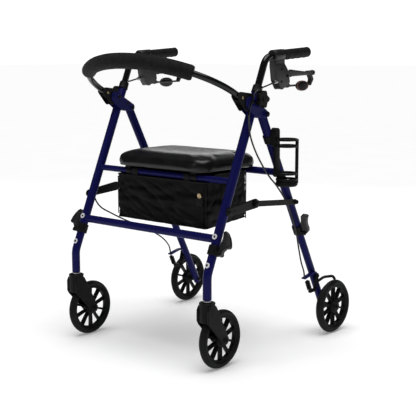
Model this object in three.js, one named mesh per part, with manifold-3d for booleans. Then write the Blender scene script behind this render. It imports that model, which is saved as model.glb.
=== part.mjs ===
// Rollator walker with a folding side-hinged frame, four wheels, a padded seat, a bag and a cup holder.
// Lengths are in millimetres. +Z is up, the walker rolls towards -Y and the user's left is +X.
import * as THREE from "three";
import { mergeVertices } from "three/addons/utils/BufferGeometryUtils.js";
import Module from "manifold-3d";

const wasm = await Module();
wasm.setup();

// ---- driving dimensions ----
const GAP = 0.4; // running gap between neighbouring pieces
const LEG_X = 278; // both legs of one side stand in this plane
const LEG_RADIUS = 12.7; // one-inch frame tube
const LEG_BORE = 11.5;
const LEG_SIDES = 14;
const INNER_RADIUS = 11; // tubes that slide inside the legs
const INNER_BORE = 9.3;

const STEM_Y = -299; // caster stem
const BEND_Z = 285; // where the front leg turns upright
const FRONT_LEAN = 0.432; // backward run of the front leg per unit of height
const FRONT_LEG_BOTTOM = 345;
const FRONT_LEG_TOP = 798;

const PIVOT_Y = -54; // fold hinge of the rear frame
const PIVOT_Z = 733;
const REAR_LEAN = 0.5277; // backward run of the rear leg per unit of drop
const REAR_LEG_BOTTOM = 351;

const UPPER_BAR_Z = 544.5;
const UPPER_BAR_RADIUS = 9.5;
const LOWER_BAR_Z = 385;
const LOWER_BAR_RADIUS = 12.2;
const REAR_BAR_Z = 549.7;
const REAR_BAR_RADIUS = 11;

const WHEEL_RADIUS = 87.5;
const WHEEL_SIDES = 24;
const TYRE_HALF_WIDTH = 14;
const RIM_RADIUS = 67.3;
const HUB_HALF_WIDTH = 16.5;
const AXLE_RADIUS = 5;
const CASTER_TRAIL = 57;
const REAR_WHEEL_X = 320.4;
const REAR_AXLE_Y = PIVOT_Y + REAR_LEAN * (PIVOT_Z - WHEEL_RADIUS);

const KNOB_Z = 778; // handle height knob, on the front leg
const FRONT_COLLAR_Z = 354;
const REAR_COLLAR_Z = 360;
const KNUCKLE_OUT = 27; // clamp lever hinge: out from the leg axis and down along the leg
const KNUCKLE_DROP = 8;

const HANDLE_CORNER = [-33.3, 900.1]; // where the handle tube turns back, y and z
const GRIP_RISE = 0.066;
const GRIP_START_Y = 45;
const GRIP_LENGTH = 134;
const HANDLE_END_Y = 168;
const LEVER_PIVOT = [64, 838];

const BOW_HINGE = [-132, 773]; // backrest hinge, y and z
const SOCKET_BOLT = [-113, 770]; // holds the backrest socket between the bracket's plates
const SOCKET_BOLT_RADIUS = 3;
const BOW_ROOT = [-170, 793];
const BOW_REACH = 181; // how far the bow runs forward of its root
const BOW_RISE = 0.529; // rise per unit of forward run
const BOW_RADIUS = 9.5;
const PAD_RADIUS = 23;
const PAD_HALF_WIDTH = 213;

const SEAT_HALF_WIDTH = 196;
const SEAT_FRONT = -218;
const SEAT_BACK = 62;
const BOARD_HALF_WIDTH = 184;
const BOARD_FRONT = -205;
const BOARD_BACK = 50;
const BOARD_CORNER = 32;
const STRAP_X = 137; // hinge straps under the board
const BOARD_BOTTOM = 562;
const BOARD_TOP = 574;
const BAG_HALF_WIDTH = 188;
const BAG_FRONT = -199.6;
const BAG_BACK = -3;
const BAG_BOTTOM = 392;
const BAG_TOP = 555;
const BAG_WALL = 2;

const BRACE_FRONT = [-223, 461]; // folding side brace: its two leg pivots and its middle
const BRACE_REAR = [92.7, 455];
const BRACE_MIDDLE = [-101, 472];

const CUP_X = 341.5; // cup holder, outside the left rear leg
const CUP_Y = -2;
const CUP_RADIUS = 36.5;
const CUP_TOP_Z = 645;
const CUP_LOW_Z = 547;

const CENTRE_X = 17.55; // middle of the whole walker, which the cup holder makes wider on the left
const CENTRE_Y = 0.11;

// ---- materials ----
function paint(color, roughness, metalness) {
  return new THREE.MeshStandardMaterial({ color, roughness, metalness });
}

const powderBlue = paint(0x1a1a55, 0.35, 0.6);
const blackPlastic = paint(0x16161a, 0.6, 0);
const blackChrome = paint(0x0d0d10, 0.2, 0.7);
const rubber = paint(0x101012, 0.8, 0);
const silver = paint(0xb8b8bc, 0.3, 1);
const foam = paint(0x222226, 0.9, 0);
const vinyl = paint(0x0c0c0e, 0.35, 0);
const nylon = paint(0x0a0a0c, 0.75, 0);
const plywood = paint(0x1c1a18, 0.7, 0);

// ---- geometry helpers ----
function toSolid(geometry) {
  const bare = geometry.index ? geometry.toNonIndexed() : geometry.clone();
  bare.deleteAttribute("normal");
  bare.deleteAttribute("uv");
  const merged = mergeVertices(bare, 1e-4);
  const corners = merged.index.array;
  const kept = [];
  for (let i = 0; i < corners.length; i += 3) {
    const [a, b, c] = [corners[i], corners[i + 1], corners[i + 2]];
    if (a !== b && b !== c && a !== c) kept.push(a, b, c);
  }
  const build = (triVerts) =>
    new wasm.Manifold(
      new wasm.Mesh({
        numProp: 3,
        vertProperties: new Float32Array(merged.attributes.position.array),
        triVerts: new Uint32Array(triVerts),
      }),
    );
  const made = build(kept);
  if (made.volume() >= 0) return made;
  const turned = [];
  for (let i = 0; i < kept.length; i += 3) turned.push(kept[i], kept[i + 2], kept[i + 1]);
  return build(turned);
}

function join(...solids) {
  return solids.reduce((all, next) => all.add(next));
}

function cut(solid, ...tools) {
  return tools.reduce((rest, tool) => rest.subtract(tool), solid);
}

// A straight round bar between two points.
function rod(from, to, radius, sides = 12, endRadius = radius) {
  const start = new THREE.Vector3(...from);
  const end = new THREE.Vector3(...to);
  const along = end.clone().sub(start);
  const geometry = new THREE.CylinderGeometry(endRadius, radius, along.length(), sides);
  const turn = new THREE.Quaternion().setFromUnitVectors(
    new THREE.Vector3(0, 1, 0),
    along.clone().normalize(),
  );
  geometry.applyQuaternion(turn);
  geometry.translate(...start.add(end).multiplyScalar(0.5).toArray());
  return toSolid(geometry);
}

// A round bar along X between two X positions.
function pin(y, z, x0, x1, radius, sides = 10) {
  return rod([x0, y, z], [x1, y, z], radius, sides);
}

// A cutter for a running fit: its flats stay outside the given radius.
function hole(from, to, radius, sides = 12) {
  return rod(from, to, radius / Math.cos(Math.PI / sides), sides);
}

function pinHole(y, z, x0, x1, radius, sides = 10) {
  return hole([x0, y, z], [x1, y, z], radius, sides);
}

function box(x0, x1, y0, y1, z0, z1) {
  const geometry = new THREE.BoxGeometry(x1 - x0, y1 - y0, z1 - z0);
  geometry.translate((x0 + x1) / 2, (y0 + y1) / 2, (z0 + z1) / 2);
  return toSolid(geometry);
}

// Corners of the convex outline around circles given as [u, v, radius].
function outlineAround(circles, steps = 12) {
  const points = circles.flatMap(([u, v, radius]) =>
    Array.from({ length: steps }, (_, i) => {
      const angle = (2 * Math.PI * (i + 0.5)) / steps;
      return [u + radius * Math.cos(angle), v + radius * Math.sin(angle)];
    }),
  );
  points.sort((a, b) => a[0] - b[0] || a[1] - b[1]);
  const turn = (o, a, b) => (a[0] - o[0]) * (b[1] - o[1]) - (a[1] - o[1]) * (b[0] - o[0]);
  const half = (list) => {
    const chain = [];
    for (const point of list) {
      while (chain.length > 1 && turn(chain.at(-2), chain.at(-1), point) <= 1e-6) chain.pop();
      chain.push(point);
    }
    return chain.slice(0, -1);
  };
  return [...half(points), ...half(points.slice().reverse())];
}

function extrudeOutline(outline, depth) {
  const shape = new THREE.Shape(outline.map(([u, v]) => new THREE.Vector2(u, v)));
  return new THREE.ExtrudeGeometry(shape, { depth, bevelEnabled: false, steps: 1 });
}

// A flat plate between two X positions, with its outline drawn in y and z.
function sidePlate(outline, x0, x1) {
  const geometry = extrudeOutline(outline, x1 - x0);
  const upright = new THREE.Matrix4().makeBasis(
    new THREE.Vector3(0, 1, 0),
    new THREE.Vector3(0, 0, 1),
    new THREE.Vector3(1, 0, 0),
  );
  geometry.applyMatrix4(upright);
  geometry.translate(x0, 0, 0);
  return toSolid(geometry);
}

function hullPlate(circles, x0, x1, steps = 12) {
  return sidePlate(outlineAround(circles, steps), x0, x1);
}

// A flat plate with its outline drawn in x and y, between two heights.
function flatPlate(outline, z0, z1) {
  const geometry = extrudeOutline(outline, z1 - z0);
  geometry.translate(0, 0, z0);
  return toSolid(geometry);
}

// A solid of revolution about X from [radius, offset] pairs.
function turned(profile, x, y, z, sides = WHEEL_SIDES) {
  const points = profile.map(([radius, offset]) => new THREE.Vector2(radius, offset));
  const geometry = new THREE.LatheGeometry(points, sides, Math.PI / sides);
  const sideways = new THREE.Matrix4().makeBasis(
    new THREE.Vector3(0, 1, 0),
    new THREE.Vector3(1, 0, 0),
    new THREE.Vector3(0, 0, -1),
  );
  geometry.applyMatrix4(sideways);
  geometry.translate(x, y, z);
  return toSolid(geometry);
}

// A round bar of straight runs joined by rounded corners.
function bentRod(points, bendRadius, radius, sides) {
  const corners = points.map((point) => new THREE.Vector3(...point));
  const lap = 0.5;
  const pieces = [];
  let from = corners[0];
  for (let i = 1; i < corners.length - 1; i += 1) {
    const corner = corners[i];
    const back = corners[i - 1].clone().sub(corner).normalize();
    const on = corners[i + 1].clone().sub(corner).normalize();
    const run = bendRadius / Math.tan(back.angleTo(on) / 2);
    const into = corner.clone().addScaledVector(back, run);
    const out = corner.clone().addScaledVector(on, run);
    pieces.push(rod(from.toArray(), into.clone().addScaledVector(back, -lap).toArray(), radius, sides));
    pieces.push(tubeAlong(new THREE.QuadraticBezierCurve3(into, corner, out), radius, sides, 6));
    from = out.addScaledVector(on, -lap);
  }
  pieces.push(rod(from.toArray(), corners.at(-1).toArray(), radius, sides));
  return join(...pieces);
}

function smoothPath(points) {
  return new THREE.CatmullRomCurve3(
    points.map((point) => new THREE.Vector3(...point)),
    false,
    "centripetal",
  );
}

function tubeAlong(path, radius, sides, steps) {
  const ring = Array.from({ length: sides }, (_, i) => {
    const angle = (2 * Math.PI * i) / sides;
    return new THREE.Vector2(radius * Math.cos(angle), radius * Math.sin(angle));
  });
  const shape = new THREE.Shape(ring);
  return toSolid(new THREE.ExtrudeGeometry(shape, { extrudePath: path, steps, curveSegments: 1 }));
}

// ---- leg axes ----
const frontAngle = Math.atan(FRONT_LEAN);
const rearAngle = Math.atan(REAR_LEAN);

// A point beside the left front leg: height on the axis, offset outwards, offset ahead of the leg.
function byFrontLeg(z, out = 0, ahead = 0) {
  return [
    LEG_X + out,
    STEM_Y + FRONT_LEAN * (z - BEND_Z) - ahead * Math.cos(frontAngle),
    z + ahead * Math.sin(frontAngle),
  ];
}

// A point beside the left rear leg: height on the axis, offset outwards, offset ahead of the leg.
function byRearLeg(z, out = 0, ahead = 0) {
  return [
    LEG_X + out,
    PIVOT_Y + REAR_LEAN * (PIVOT_Z - z) - ahead * Math.cos(rearAngle),
    z - ahead * Math.sin(rearAngle),
  ];
}

// ---- frame ----
function frontLeg() {
  const tube = rod(byFrontLeg(FRONT_LEG_BOTTOM), byFrontLeg(FRONT_LEG_TOP), LEG_RADIUS, LEG_SIDES);
  const bore = rod(byFrontLeg(FRONT_LEG_BOTTOM - 5), byFrontLeg(FRONT_LEG_TOP + 5), LEG_BORE, LEG_SIDES);
  const plug = rod(byFrontLeg(395, 0, LEG_RADIUS - 1), byFrontLeg(395, 0, LEG_RADIUS + 2.5), 7, 12);
  return join(cut(tube, bore), plug);
}

function bothLegs(byLeg, low, high, radius) {
  const mirror = ([x, y, z]) => [-x, y, z];
  const left = rod(byLeg(low), byLeg(high), radius, LEG_SIDES);
  const right = rod(mirror(byLeg(low)), mirror(byLeg(high)), radius, LEG_SIDES);
  return join(left, right);
}

function crossbar(byLeg, z, radius, wall) {
  const y = byLeg(z)[1];
  const bar = pin(y, z, -LEG_X, LEG_X, radius, 12);
  const bore = pin(y, z, -LEG_X - 1, LEG_X + 1, radius - wall, 8);
  return cut(bar, bore, bothLegs(byLeg, z - 60, z + 60, LEG_RADIUS + 2 * GAP));
}

function topBracket() {
  const sheet = [
    [-127, 768, 19],
    [PIVOT_Y, PIVOT_Z, 13.5],
    [-101, 736, 9],
  ];
  const inside = LEG_RADIUS + 0.5;
  const outside = inside + 4;
  return join(
    hullPlate(sheet, LEG_X + inside, LEG_X + outside),
    hullPlate(sheet, LEG_X - outside, LEG_X - inside),
    pin(-72, 746, LEG_X - inside - 1, LEG_X + inside + 1, 3.5),
    pin(...SOCKET_BOLT, LEG_X - outside - 3, LEG_X + outside + 1, SOCKET_BOLT_RADIUS),
    pin(...SOCKET_BOLT, LEG_X - outside - 3, LEG_X - outside + 1, 6),
    pin(PIVOT_Y, PIVOT_Z, LEG_X - outside - 4, LEG_X + outside + 1, 4),
    pin(PIVOT_Y, PIVOT_Z, LEG_X - outside - 4, LEG_X - outside + 1, 8),
    pin(PIVOT_Y, PIVOT_Z, LEG_X + outside - 1, LEG_X + outside + 8, 8),
  );
}

function legSleeve() {
  const body = rod(byFrontLeg(794), byFrontLeg(816), 16, LEG_SIDES, 14.5);
  return cut(
    body,
    rod(byFrontLeg(780), byFrontLeg(FRONT_LEG_TOP + GAP), LEG_RADIUS + 2 * GAP, LEG_SIDES),
    rod(byFrontLeg(780), byFrontLeg(830), LEG_BORE, LEG_SIDES),
  );
}

function heightKnob() {
  const y = byFrontLeg(KNOB_Z)[1];
  const lobes = Array.from({ length: 30 }, (_, i) => {
    const angle = (2 * Math.PI * i) / 30;
    const radius = 22.5 + 4 * Math.cos(5 * angle);
    return [y + radius * Math.cos(angle), KNOB_Z + radius * Math.sin(angle)];
  });
  const base = LEG_X + LEG_RADIUS + 4.5 + GAP;
  return join(
    pin(y, KNOB_Z, LEG_X + LEG_RADIUS + GAP, base + 1, 5),
    pin(y, KNOB_Z, base, base + 6, 12),
    sidePlate(lobes, base + 5, base + 19),
    pin(y, KNOB_Z, base + 18, base + 24, 6),
  );
}

// ---- front lower legs, casters ----
function frontLowerLeg() {
  const bent = (top, bottom, radius, sides) =>
    bentRod([byFrontLeg(top), byFrontLeg(BEND_Z), [LEG_X, STEM_Y, bottom]], 60, radius, sides);
  const button = rod(byFrontLeg(313, 0, 10), byFrontLeg(313, 0, 13.5), 6, 10);
  return join(cut(bent(470, 214, INNER_RADIUS, 12), bent(475, 208, INNER_BORE, 6)), button);
}

function casterFork() {
  const wheelY = STEM_Y + CASTER_TRAIL;
  const outer = 23;
  const inner = HUB_HALF_WIDTH + 0.9;
  const arm = [
    [STEM_Y, 182, 22],
    [STEM_Y, 160, 22],
    [wheelY, WHEEL_RADIUS, 15],
  ];
  const shell = join(
    rod([LEG_X, STEM_Y, 150], [LEG_X, STEM_Y, 205], outer, 16),
    hullPlate(arm, LEG_X - outer, LEG_X - inner),
    hullPlate(arm, LEG_X + inner, LEG_X + outer),
  );
  const hollow = pinHole(wheelY, WHEEL_RADIUS, LEG_X - inner, LEG_X + inner, WHEEL_RADIUS + 3.5, WHEEL_SIDES);
  return join(
    cut(shell, hollow),
    rod([LEG_X, STEM_Y, 204], [LEG_X, STEM_Y, 211], 17, 14),
    rod([LEG_X, STEM_Y, 205], [LEG_X, STEM_Y, 236], 7, 8),
    pin(wheelY, WHEEL_RADIUS, LEG_X - outer - 4, LEG_X + outer + 4, AXLE_RADIUS),
    pin(wheelY, WHEEL_RADIUS, LEG_X - outer - 4, LEG_X - outer + 1, 8),
    pin(wheelY, WHEEL_RADIUS, LEG_X + outer - 1, LEG_X + outer + 4, 8),
  );
}

function tyre(x, y) {
  const inner = RIM_RADIUS + 0.7;
  const tread = WHEEL_RADIUS / Math.cos(Math.PI / WHEEL_SIDES);
  const half = [
    [inner, 12],
    [79, TYRE_HALF_WIDTH],
    [85.5, 11.5],
    [tread, 7.5],
  ];
  const other = half.map(([radius, offset]) => [radius, -offset]).reverse();
  return turned([...half, ...other, half[0]], x, y, WHEEL_RADIUS);
}

function rim(x, y) {
  const half = [
    [AXLE_RADIUS + 0.5, HUB_HALF_WIDTH],
    [15, HUB_HALF_WIDTH],
    [18, 8],
    [60, 8],
    [RIM_RADIUS, 12],
  ];
  const other = half.map(([radius, offset]) => [radius, -offset]).reverse();
  const disc = turned([...half, ...other, half[0]], x, y, WHEEL_RADIUS);
  const windows = 10;
  const at = (radius, angle) => [
    y + radius * Math.cos(angle),
    WHEEL_RADIUS + radius * Math.sin(angle),
  ];
  const prisms = Array.from({ length: windows }, (_, i) => {
    const middle = (2 * Math.PI * i) / windows;
    const outline = [
      at(23, middle - 0.16),
      at(58, middle - 0.24),
      at(58, middle + 0.24),
      at(23, middle + 0.16),
    ];
    return sidePlate(outline, x - 20, x + 20);
  });
  return cut(disc, ...prisms);
}

// ---- clamps of the telescoping legs ----
// A plate in the plane of X and the leg axis: circles are given as [out, up the leg, radius].
function legPlate(byLeg, z, circles, ahead0, ahead1) {
  const geometry = extrudeOutline(outlineAround(circles), ahead1 - ahead0);
  const up = new THREE.Vector3(...byLeg(z + 1)).sub(new THREE.Vector3(...byLeg(z))).normalize();
  const out = new THREE.Vector3(1, 0, 0);
  geometry.translate(0, 0, ahead0);
  geometry.applyMatrix4(new THREE.Matrix4().makeBasis(out, up, out.clone().cross(up)));
  geometry.translate(...byLeg(z));
  return toSolid(geometry);
}

// A clamp around the leg's end; two lugs carry the lever's pin at [KNUCKLE_OUT, -KNUCKLE_DROP].
function clampCollar(byLeg, z, tubeEnd) {
  const half = 13;
  const lug = [
    [10, -KNUCKLE_DROP, 6.5],
    [KNUCKLE_OUT, -KNUCKLE_DROP, 6.5],
  ];
  const bolt = [[KNUCKLE_OUT, -KNUCKLE_DROP, 3]];
  const body = join(
    rod(byLeg(z - half), byLeg(z + half), 18, LEG_SIDES),
    legPlate(byLeg, z, lug, 7.5, 10.5),
    legPlate(byLeg, z, lug, -10.5, -7.5),
    legPlate(byLeg, z, bolt, -9, 9),
  );
  return cut(
    body,
    rod(byLeg(tubeEnd - GAP), byLeg(z + 40), LEG_RADIUS + 2 * GAP, LEG_SIDES),
    rod(byLeg(z - 40), byLeg(z + 40), LEG_BORE, LEG_SIDES),
  );
}

// The lever swings outwards about the collar's pin; its outline is drawn as [out, up the leg].
function clampLever(byLeg, z, outline) {
  const bore = [[KNUCKLE_OUT, -KNUCKLE_DROP, 3 + 2 * GAP]];
  const leg = rod(byLeg(z - 40), byLeg(z + 90), 18 + 2 * GAP, LEG_SIDES);
  return cut(legPlate(byLeg, z, outline, -7, 7), legPlate(byLeg, z, bore, -8, 8), leg);
}

const frontLeverOutline = [
  [KNUCKLE_OUT, -KNUCKLE_DROP, 7.5],
  [56, 15, 4],
  [51, 30, 4],
  [31, 54, 4],
  [24, 30, 4],
];
const rearLeverOutline = [
  [KNUCKLE_OUT, -KNUCKLE_DROP, 7.5],
  [45, 0, 4],
  [43, 48, 4],
  [30, 50, 4],
];

// ---- rear frame ----
function rearLeg() {
  const tube = rod(byRearLeg(REAR_LEG_BOTTOM), byRearLeg(PIVOT_Z + 9), LEG_RADIUS, LEG_SIDES);
  const bore = rod(byRearLeg(REAR_LEG_BOTTOM - 5), byRearLeg(PIVOT_Z - 26), LEG_BORE, LEG_SIDES);
  const hinge = pinHole(PIVOT_Y, PIVOT_Z, LEG_X - 20, LEG_X + 20, 4 + GAP);
  return cut(tube, bore, hinge);
}

function rearLowerLeg() {
  const bottom = WHEEL_RADIUS - 12;
  const tube = rod(byRearLeg(500), byRearLeg(bottom), INNER_RADIUS, 12);
  const bore = rod(byRearLeg(505), byRearLeg(120), INNER_BORE, 8);
  const [, brakeY, brakeZ] = byRearLeg(196);
  const hubEnd = REAR_WHEEL_X + HUB_HALF_WIDTH;
  return join(
    cut(tube, bore),
    pin(REAR_AXLE_Y, WHEEL_RADIUS, LEG_X - 16, hubEnd + 6, AXLE_RADIUS),
    pin(REAR_AXLE_Y, WHEEL_RADIUS, LEG_X, REAR_WHEEL_X - HUB_HALF_WIDTH - 0.5, 9),
    pin(REAR_AXLE_Y, WHEEL_RADIUS, hubEnd + 0.5, hubEnd + 6, 9),
    pin(brakeY, brakeZ, LEG_X, LEG_X + 24, 4),
    box(LEG_X + 6, LEG_X + 22, 156, 222, 206, 211),
  );
}

function brakeArm() {
  const [, pivotY, pivotZ] = byRearLeg(196);
  const x0 = LEG_X + INNER_RADIUS + 2;
  const x1 = x0 + 6;
  const carrier = [
    [pivotY, pivotZ, 9],
    [pivotY + 26, pivotZ + 2, 6],
  ];
  const tail = [
    [pivotY, pivotZ, 9],
    [216, 152, 6],
  ];
  const link = [
    [216, 152, 5.5],
    [190, 152, 5.5],
  ];
  const shoe = [
    [228, 198, 5],
    [293, 183, 4.5],
    [297, 182, 3],
  ];
  return cut(
    join(
      hullPlate(carrier, x0, x1),
      hullPlate(tail, x0, x1),
      hullPlate(link, x0, x1),
      hullPlate(shoe, x0, REAR_WHEEL_X + TYRE_HALF_WIDTH + 1),
      rod([x0 + 3, 190, 152], [x0 + 3, 167, 198], 4, 8),
    ),
    pinHole(pivotY, pivotZ, LEG_X, x1 + 20, 4 + GAP),
  );
}

// ---- handles ----
function gripPoint(y) {
  return [LEG_X, y, HANDLE_CORNER[1] + GRIP_RISE * (y - HANDLE_CORNER[0])];
}

function handleRod(low, endY, radius, sides) {
  return bentRod([byFrontLeg(low), [LEG_X, ...HANDLE_CORNER], gripPoint(endY)], 50, radius, sides);
}

function handleTube() {
  const outer = handleRod(650, HANDLE_END_Y, INNER_RADIUS, 12);
  return cut(outer, handleRod(645, HANDLE_END_Y + 4, INNER_BORE, 6));
}

function grip() {
  const bore = LEG_BORE;
  const ribs = [];
  for (let i = 0; i < 4; i += 1) {
    const start = 12 + i * 28;
    ribs.push([15.4, start], [16.6, start + 14]);
  }
  const profile = [
    [0, GRIP_LENGTH - 8],
    [bore, GRIP_LENGTH - 8],
    [bore, 0],
    [17.5, 0],
    [17.5, 4],
    [15.2, 8],
    ...ribs,
    [16.2, GRIP_LENGTH - 6],
    [13, GRIP_LENGTH],
    [0, GRIP_LENGTH],
  ];
  const points = profile.map(([radius, offset]) => new THREE.Vector2(radius, offset));
  const geometry = new THREE.LatheGeometry(points, 12);
  const along = new THREE.Vector3(0, 1, GRIP_RISE).normalize();
  geometry.applyQuaternion(
    new THREE.Quaternion().setFromUnitVectors(new THREE.Vector3(0, 1, 0), along),
  );
  geometry.translate(...gripPoint(GRIP_START_Y));
  return toSolid(geometry);
}

function brakeHousing() {
  const half = 13;
  const slot = 8;
  const body = hullPlate(
    [
      [-8, 872, 6],
      [-5, 832, 7],
      [24, 811, 12],
      [66, 812, 11],
      [62, 852, 9],
      [40, 872, 8],
    ],
    LEG_X - half,
    LEG_X + half,
  );
  const collar = rod(gripPoint(6), gripPoint(GRIP_START_Y - 1), 18, 14);
  const neck = box(LEG_X - 9, LEG_X + 9, 14, 42, 872, 900);
  const barrel = rod([LEG_X + 6, 8, 824], [LEG_X + 10, -24, 820], 6, 10);
  const solid = join(body, collar, neck, barrel);
  return join(
    cut(
      solid,
      handleRod(700, HANDLE_END_Y, LEG_BORE + GAP, 12),
      box(LEG_X - slot, LEG_X + slot, 44, 110, 780, 900),
    ),
    pin(LEVER_PIVOT[0], LEVER_PIVOT[1], LEG_X - half + 1, LEG_X + half - 1, 3.5),
  );
}

function brakeLever() {
  const half = 7;
  const root = [
    [64, 838, 12],
    [62, 852, 8],
    [62, 816, 9],
  ];
  const bars = [
    [[66, 850, 9], [100, 851, 6]],
    [[100, 851, 6], [176, 849.5, 4]],
    [[174, 849.5, 4], [182, 850, 6.5]],
    [[182, 850, 6.5], [206, 850, 7.5]],
    [[190, 845, 6], [199, 830, 6]],
    [[199, 830, 6], [191, 815, 3.5]],
    [[191, 813.5, 3], [80, 812, 3]],
    [[66, 815, 9], [82, 812, 3]],
  ];
  const oval = Array.from({ length: 20 }, (_, i) => {
    const angle = (2 * Math.PI * i) / 20;
    return [140 + 31 * Math.cos(angle), 811 + 16 * Math.sin(angle)];
  });
  return cut(
    join(
      ...[root, ...bars].map((circles) => hullPlate(circles, LEG_X - half, LEG_X + half)),
      sidePlate(oval, LEG_X + half - 2, LEG_X + half + 4),
    ),
    pinHole(LEVER_PIVOT[0], LEVER_PIVOT[1], LEG_X - 12, LEG_X + 12, 3.5 + GAP),
  );
}

// ---- backrest ----
function bowPoint(angle) {
  const forward = BOW_REACH * Math.cos(angle);
  return [
    LEG_X * Math.sin(angle),
    BOW_ROOT[0] - forward,
    BOW_ROOT[1] + BOW_RISE * forward,
  ];
}

function bowPath() {
  const count = 18;
  const arc = Array.from({ length: count + 1 }, (_, i) =>
    bowPoint(-Math.PI / 2 + (Math.PI * i) / count),
  );
  const start = [-LEG_X, ...BOW_HINGE];
  const end = [LEG_X, ...BOW_HINGE];
  return smoothPath([start, ...arc, end]);
}

function backrestBow() {
  const rounded = (side) => hullPlate([[...BOW_HINGE, 9.5]], side * LEG_X - 8, side * LEG_X + 8);
  const bore = (side) => pinHole(...BOW_HINGE, side * LEG_X - 12, side * LEG_X + 12, 3 + GAP);
  const tube = tubeAlong(bowPath(), BOW_RADIUS, 10, 32);
  return cut(join(tube, rounded(-1), rounded(1)), bore(-1), bore(1));
}

function backrestPad() {
  const reach = Math.asin(PAD_HALF_WIDTH / LEG_X);
  const arc = (limit, count) =>
    Array.from({ length: count + 1 }, (_, i) => bowPoint(-limit + (2 * limit * i) / count));
  const outer = tubeAlong(smoothPath(arc(reach, 16)), PAD_RADIUS, 12, 22);
  return cut(outer, tubeAlong(bowPath(), BOW_RADIUS + 4 * GAP, 8, 32));
}

function backrestSocket() {
  const wall = 2.4;
  const inside = BOW_RADIUS + 0.9;
  const cheek = [
    [-168, 790, 12],
    [-138, 757, 13],
    [-116, 788, 8],
  ];
  const across = (circles) => hullPlate(circles, LEG_X - inside - 1, LEG_X + inside + 1);
  const slope = Math.atan(BOW_RISE);
  const under = BOW_RADIUS + GAP + 2;
  const floorPoint = (y) => {
    const z = BOW_HINGE[1] - BOW_RISE * (y - BOW_HINGE[0]);
    return [y - under * Math.sin(slope), z - under * Math.cos(slope), 1.5];
  };
  const body = join(
    hullPlate(cheek, LEG_X - inside - wall, LEG_X - inside),
    hullPlate(cheek, LEG_X + inside, LEG_X + inside + wall),
    across([floorPoint(-160), floorPoint(-134)]),
    across([[-114, 762, 5], [-113, 786, 5]]),
    pin(...BOW_HINGE, LEG_X - inside - wall, LEG_X + inside + wall, 3),
  );
  const leg = rod(byFrontLeg(700), byFrontLeg(830), LEG_RADIUS + 2 * GAP, LEG_SIDES);
  const sleeve = rod(byFrontLeg(793), byFrontLeg(830), 16 + GAP, 18);
  const bolt = pinHole(...SOCKET_BOLT, LEG_X - 20, LEG_X + 20, SOCKET_BOLT_RADIUS + GAP);
  return cut(body, leg, sleeve, bolt);
}

// ---- seat and bag ----
// A rounded rectangle in x and y.
function roundedOutline(halfWidth, front, back, radius) {
  const x = halfWidth - radius;
  const corners = [
    [-x, front + radius, radius],
    [x, front + radius, radius],
    [x, back - radius, radius],
    [-x, back - radius, radius],
  ];
  return outlineAround(corners, 20);
}

function seatBoard() {
  const y = byFrontLeg(UPPER_BAR_Z)[1];
  const outline = [
    [y, UPPER_BAR_Z, 13],
    [y + 4, BOARD_BOTTOM + 4, 8],
  ];
  const strap = (side) => hullPlate(outline, side * STRAP_X - 7, side * STRAP_X + 7);
  const boardOutline = roundedOutline(BOARD_HALF_WIDTH, BOARD_FRONT, BOARD_BACK, BOARD_CORNER);
  const board = flatPlate(boardOutline, BOARD_BOTTOM, BOARD_TOP);
  return cut(
    join(board, strap(-1), strap(1)),
    pinHole(y, UPPER_BAR_Z, -200, 200, UPPER_BAR_RADIUS + GAP),
    box(-200, 200, -230, 60, BOARD_TOP, BOARD_TOP + 20),
  );
}

// A crowned block through rounded rectangles, each given as [height, inset from the widest one].
function cushionBlock() {
  const radius = 56;
  const layers = [
    [559, -2],
    [564, -0.5],
    [575, 0],
    [588, -1.5],
    [597, -7],
    [603, -20],
    [608, -42],
    [611, -54],
  ];
  const sections = layers.map(([z, inset]) => {
    const outline = roundedOutline(
      SEAT_HALF_WIDTH + inset,
      SEAT_FRONT - inset,
      SEAT_BACK + inset,
      radius,
    );
    return outline.map(([x, y]) => [x, y, z]);
  });
  const sides = sections[0].length;
  const positions = sections.flat();
  const triangles = [];
  for (let layer = 0; layer < sections.length - 1; layer += 1) {
    for (let i = 0; i < sides; i += 1) {
      const a = layer * sides + i;
      const b = layer * sides + ((i + 1) % sides);
      triangles.push(a, b, b + sides, a, b + sides, a + sides);
    }
  }
  const top = (sections.length - 1) * sides;
  for (let i = 1; i < sides - 1; i += 1) {
    triangles.push(0, i + 1, i);
    triangles.push(top, top + i, top + i + 1);
  }
  const geometry = new THREE.BufferGeometry();
  geometry.setAttribute("position", new THREE.Float32BufferAttribute(positions.flat(), 3));
  geometry.setIndex(triangles);
  return toSolid(geometry);
}

function seatCushion() {
  const space = flatPlate(
    roundedOutline(BOARD_HALF_WIDTH + GAP, BOARD_FRONT - GAP, BOARD_BACK + GAP, BOARD_CORNER),
    540,
    BOARD_TOP + GAP,
  );
  const overRearBar = box(-210, 210, 20, 80, 540, 564);
  return cut(cushionBlock(), space, overRearBar);
}

function bag() {
  const barY = byFrontLeg(UPPER_BAR_Z)[1];
  const notch = 529;
  const loopEnd = STRAP_X - 12;
  const shell = cut(
    box(-BAG_HALF_WIDTH, BAG_HALF_WIDTH, BAG_FRONT, BAG_BACK, BAG_BOTTOM, BAG_TOP),
    box(
      -BAG_HALF_WIDTH + BAG_WALL,
      BAG_HALF_WIDTH - BAG_WALL,
      BAG_FRONT + BAG_WALL,
      BAG_BACK - BAG_WALL,
      BAG_BOTTOM + BAG_WALL,
      BAG_TOP + 10,
    ),
    box(-200, -loopEnd, -210, -160, notch, 580),
    box(loopEnd, 200, -210, -160, notch, 580),
  );
  const loop = hullPlate([[barY, UPPER_BAR_Z, 12.4]], 1 - loopEnd, loopEnd - 1, 16);
  const tape = (x) =>
    hullPlate(
      [
        [BAG_BACK - 1, 548, 1],
        [30, 551, 1],
      ],
      x - 12,
      x + 12,
      8,
    );
  return cut(
    join(shell, loop, tape(-120), tape(120)),
    pinHole(barY, UPPER_BAR_Z, -170, 170, UPPER_BAR_RADIUS + GAP, 16),
  );
}

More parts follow.
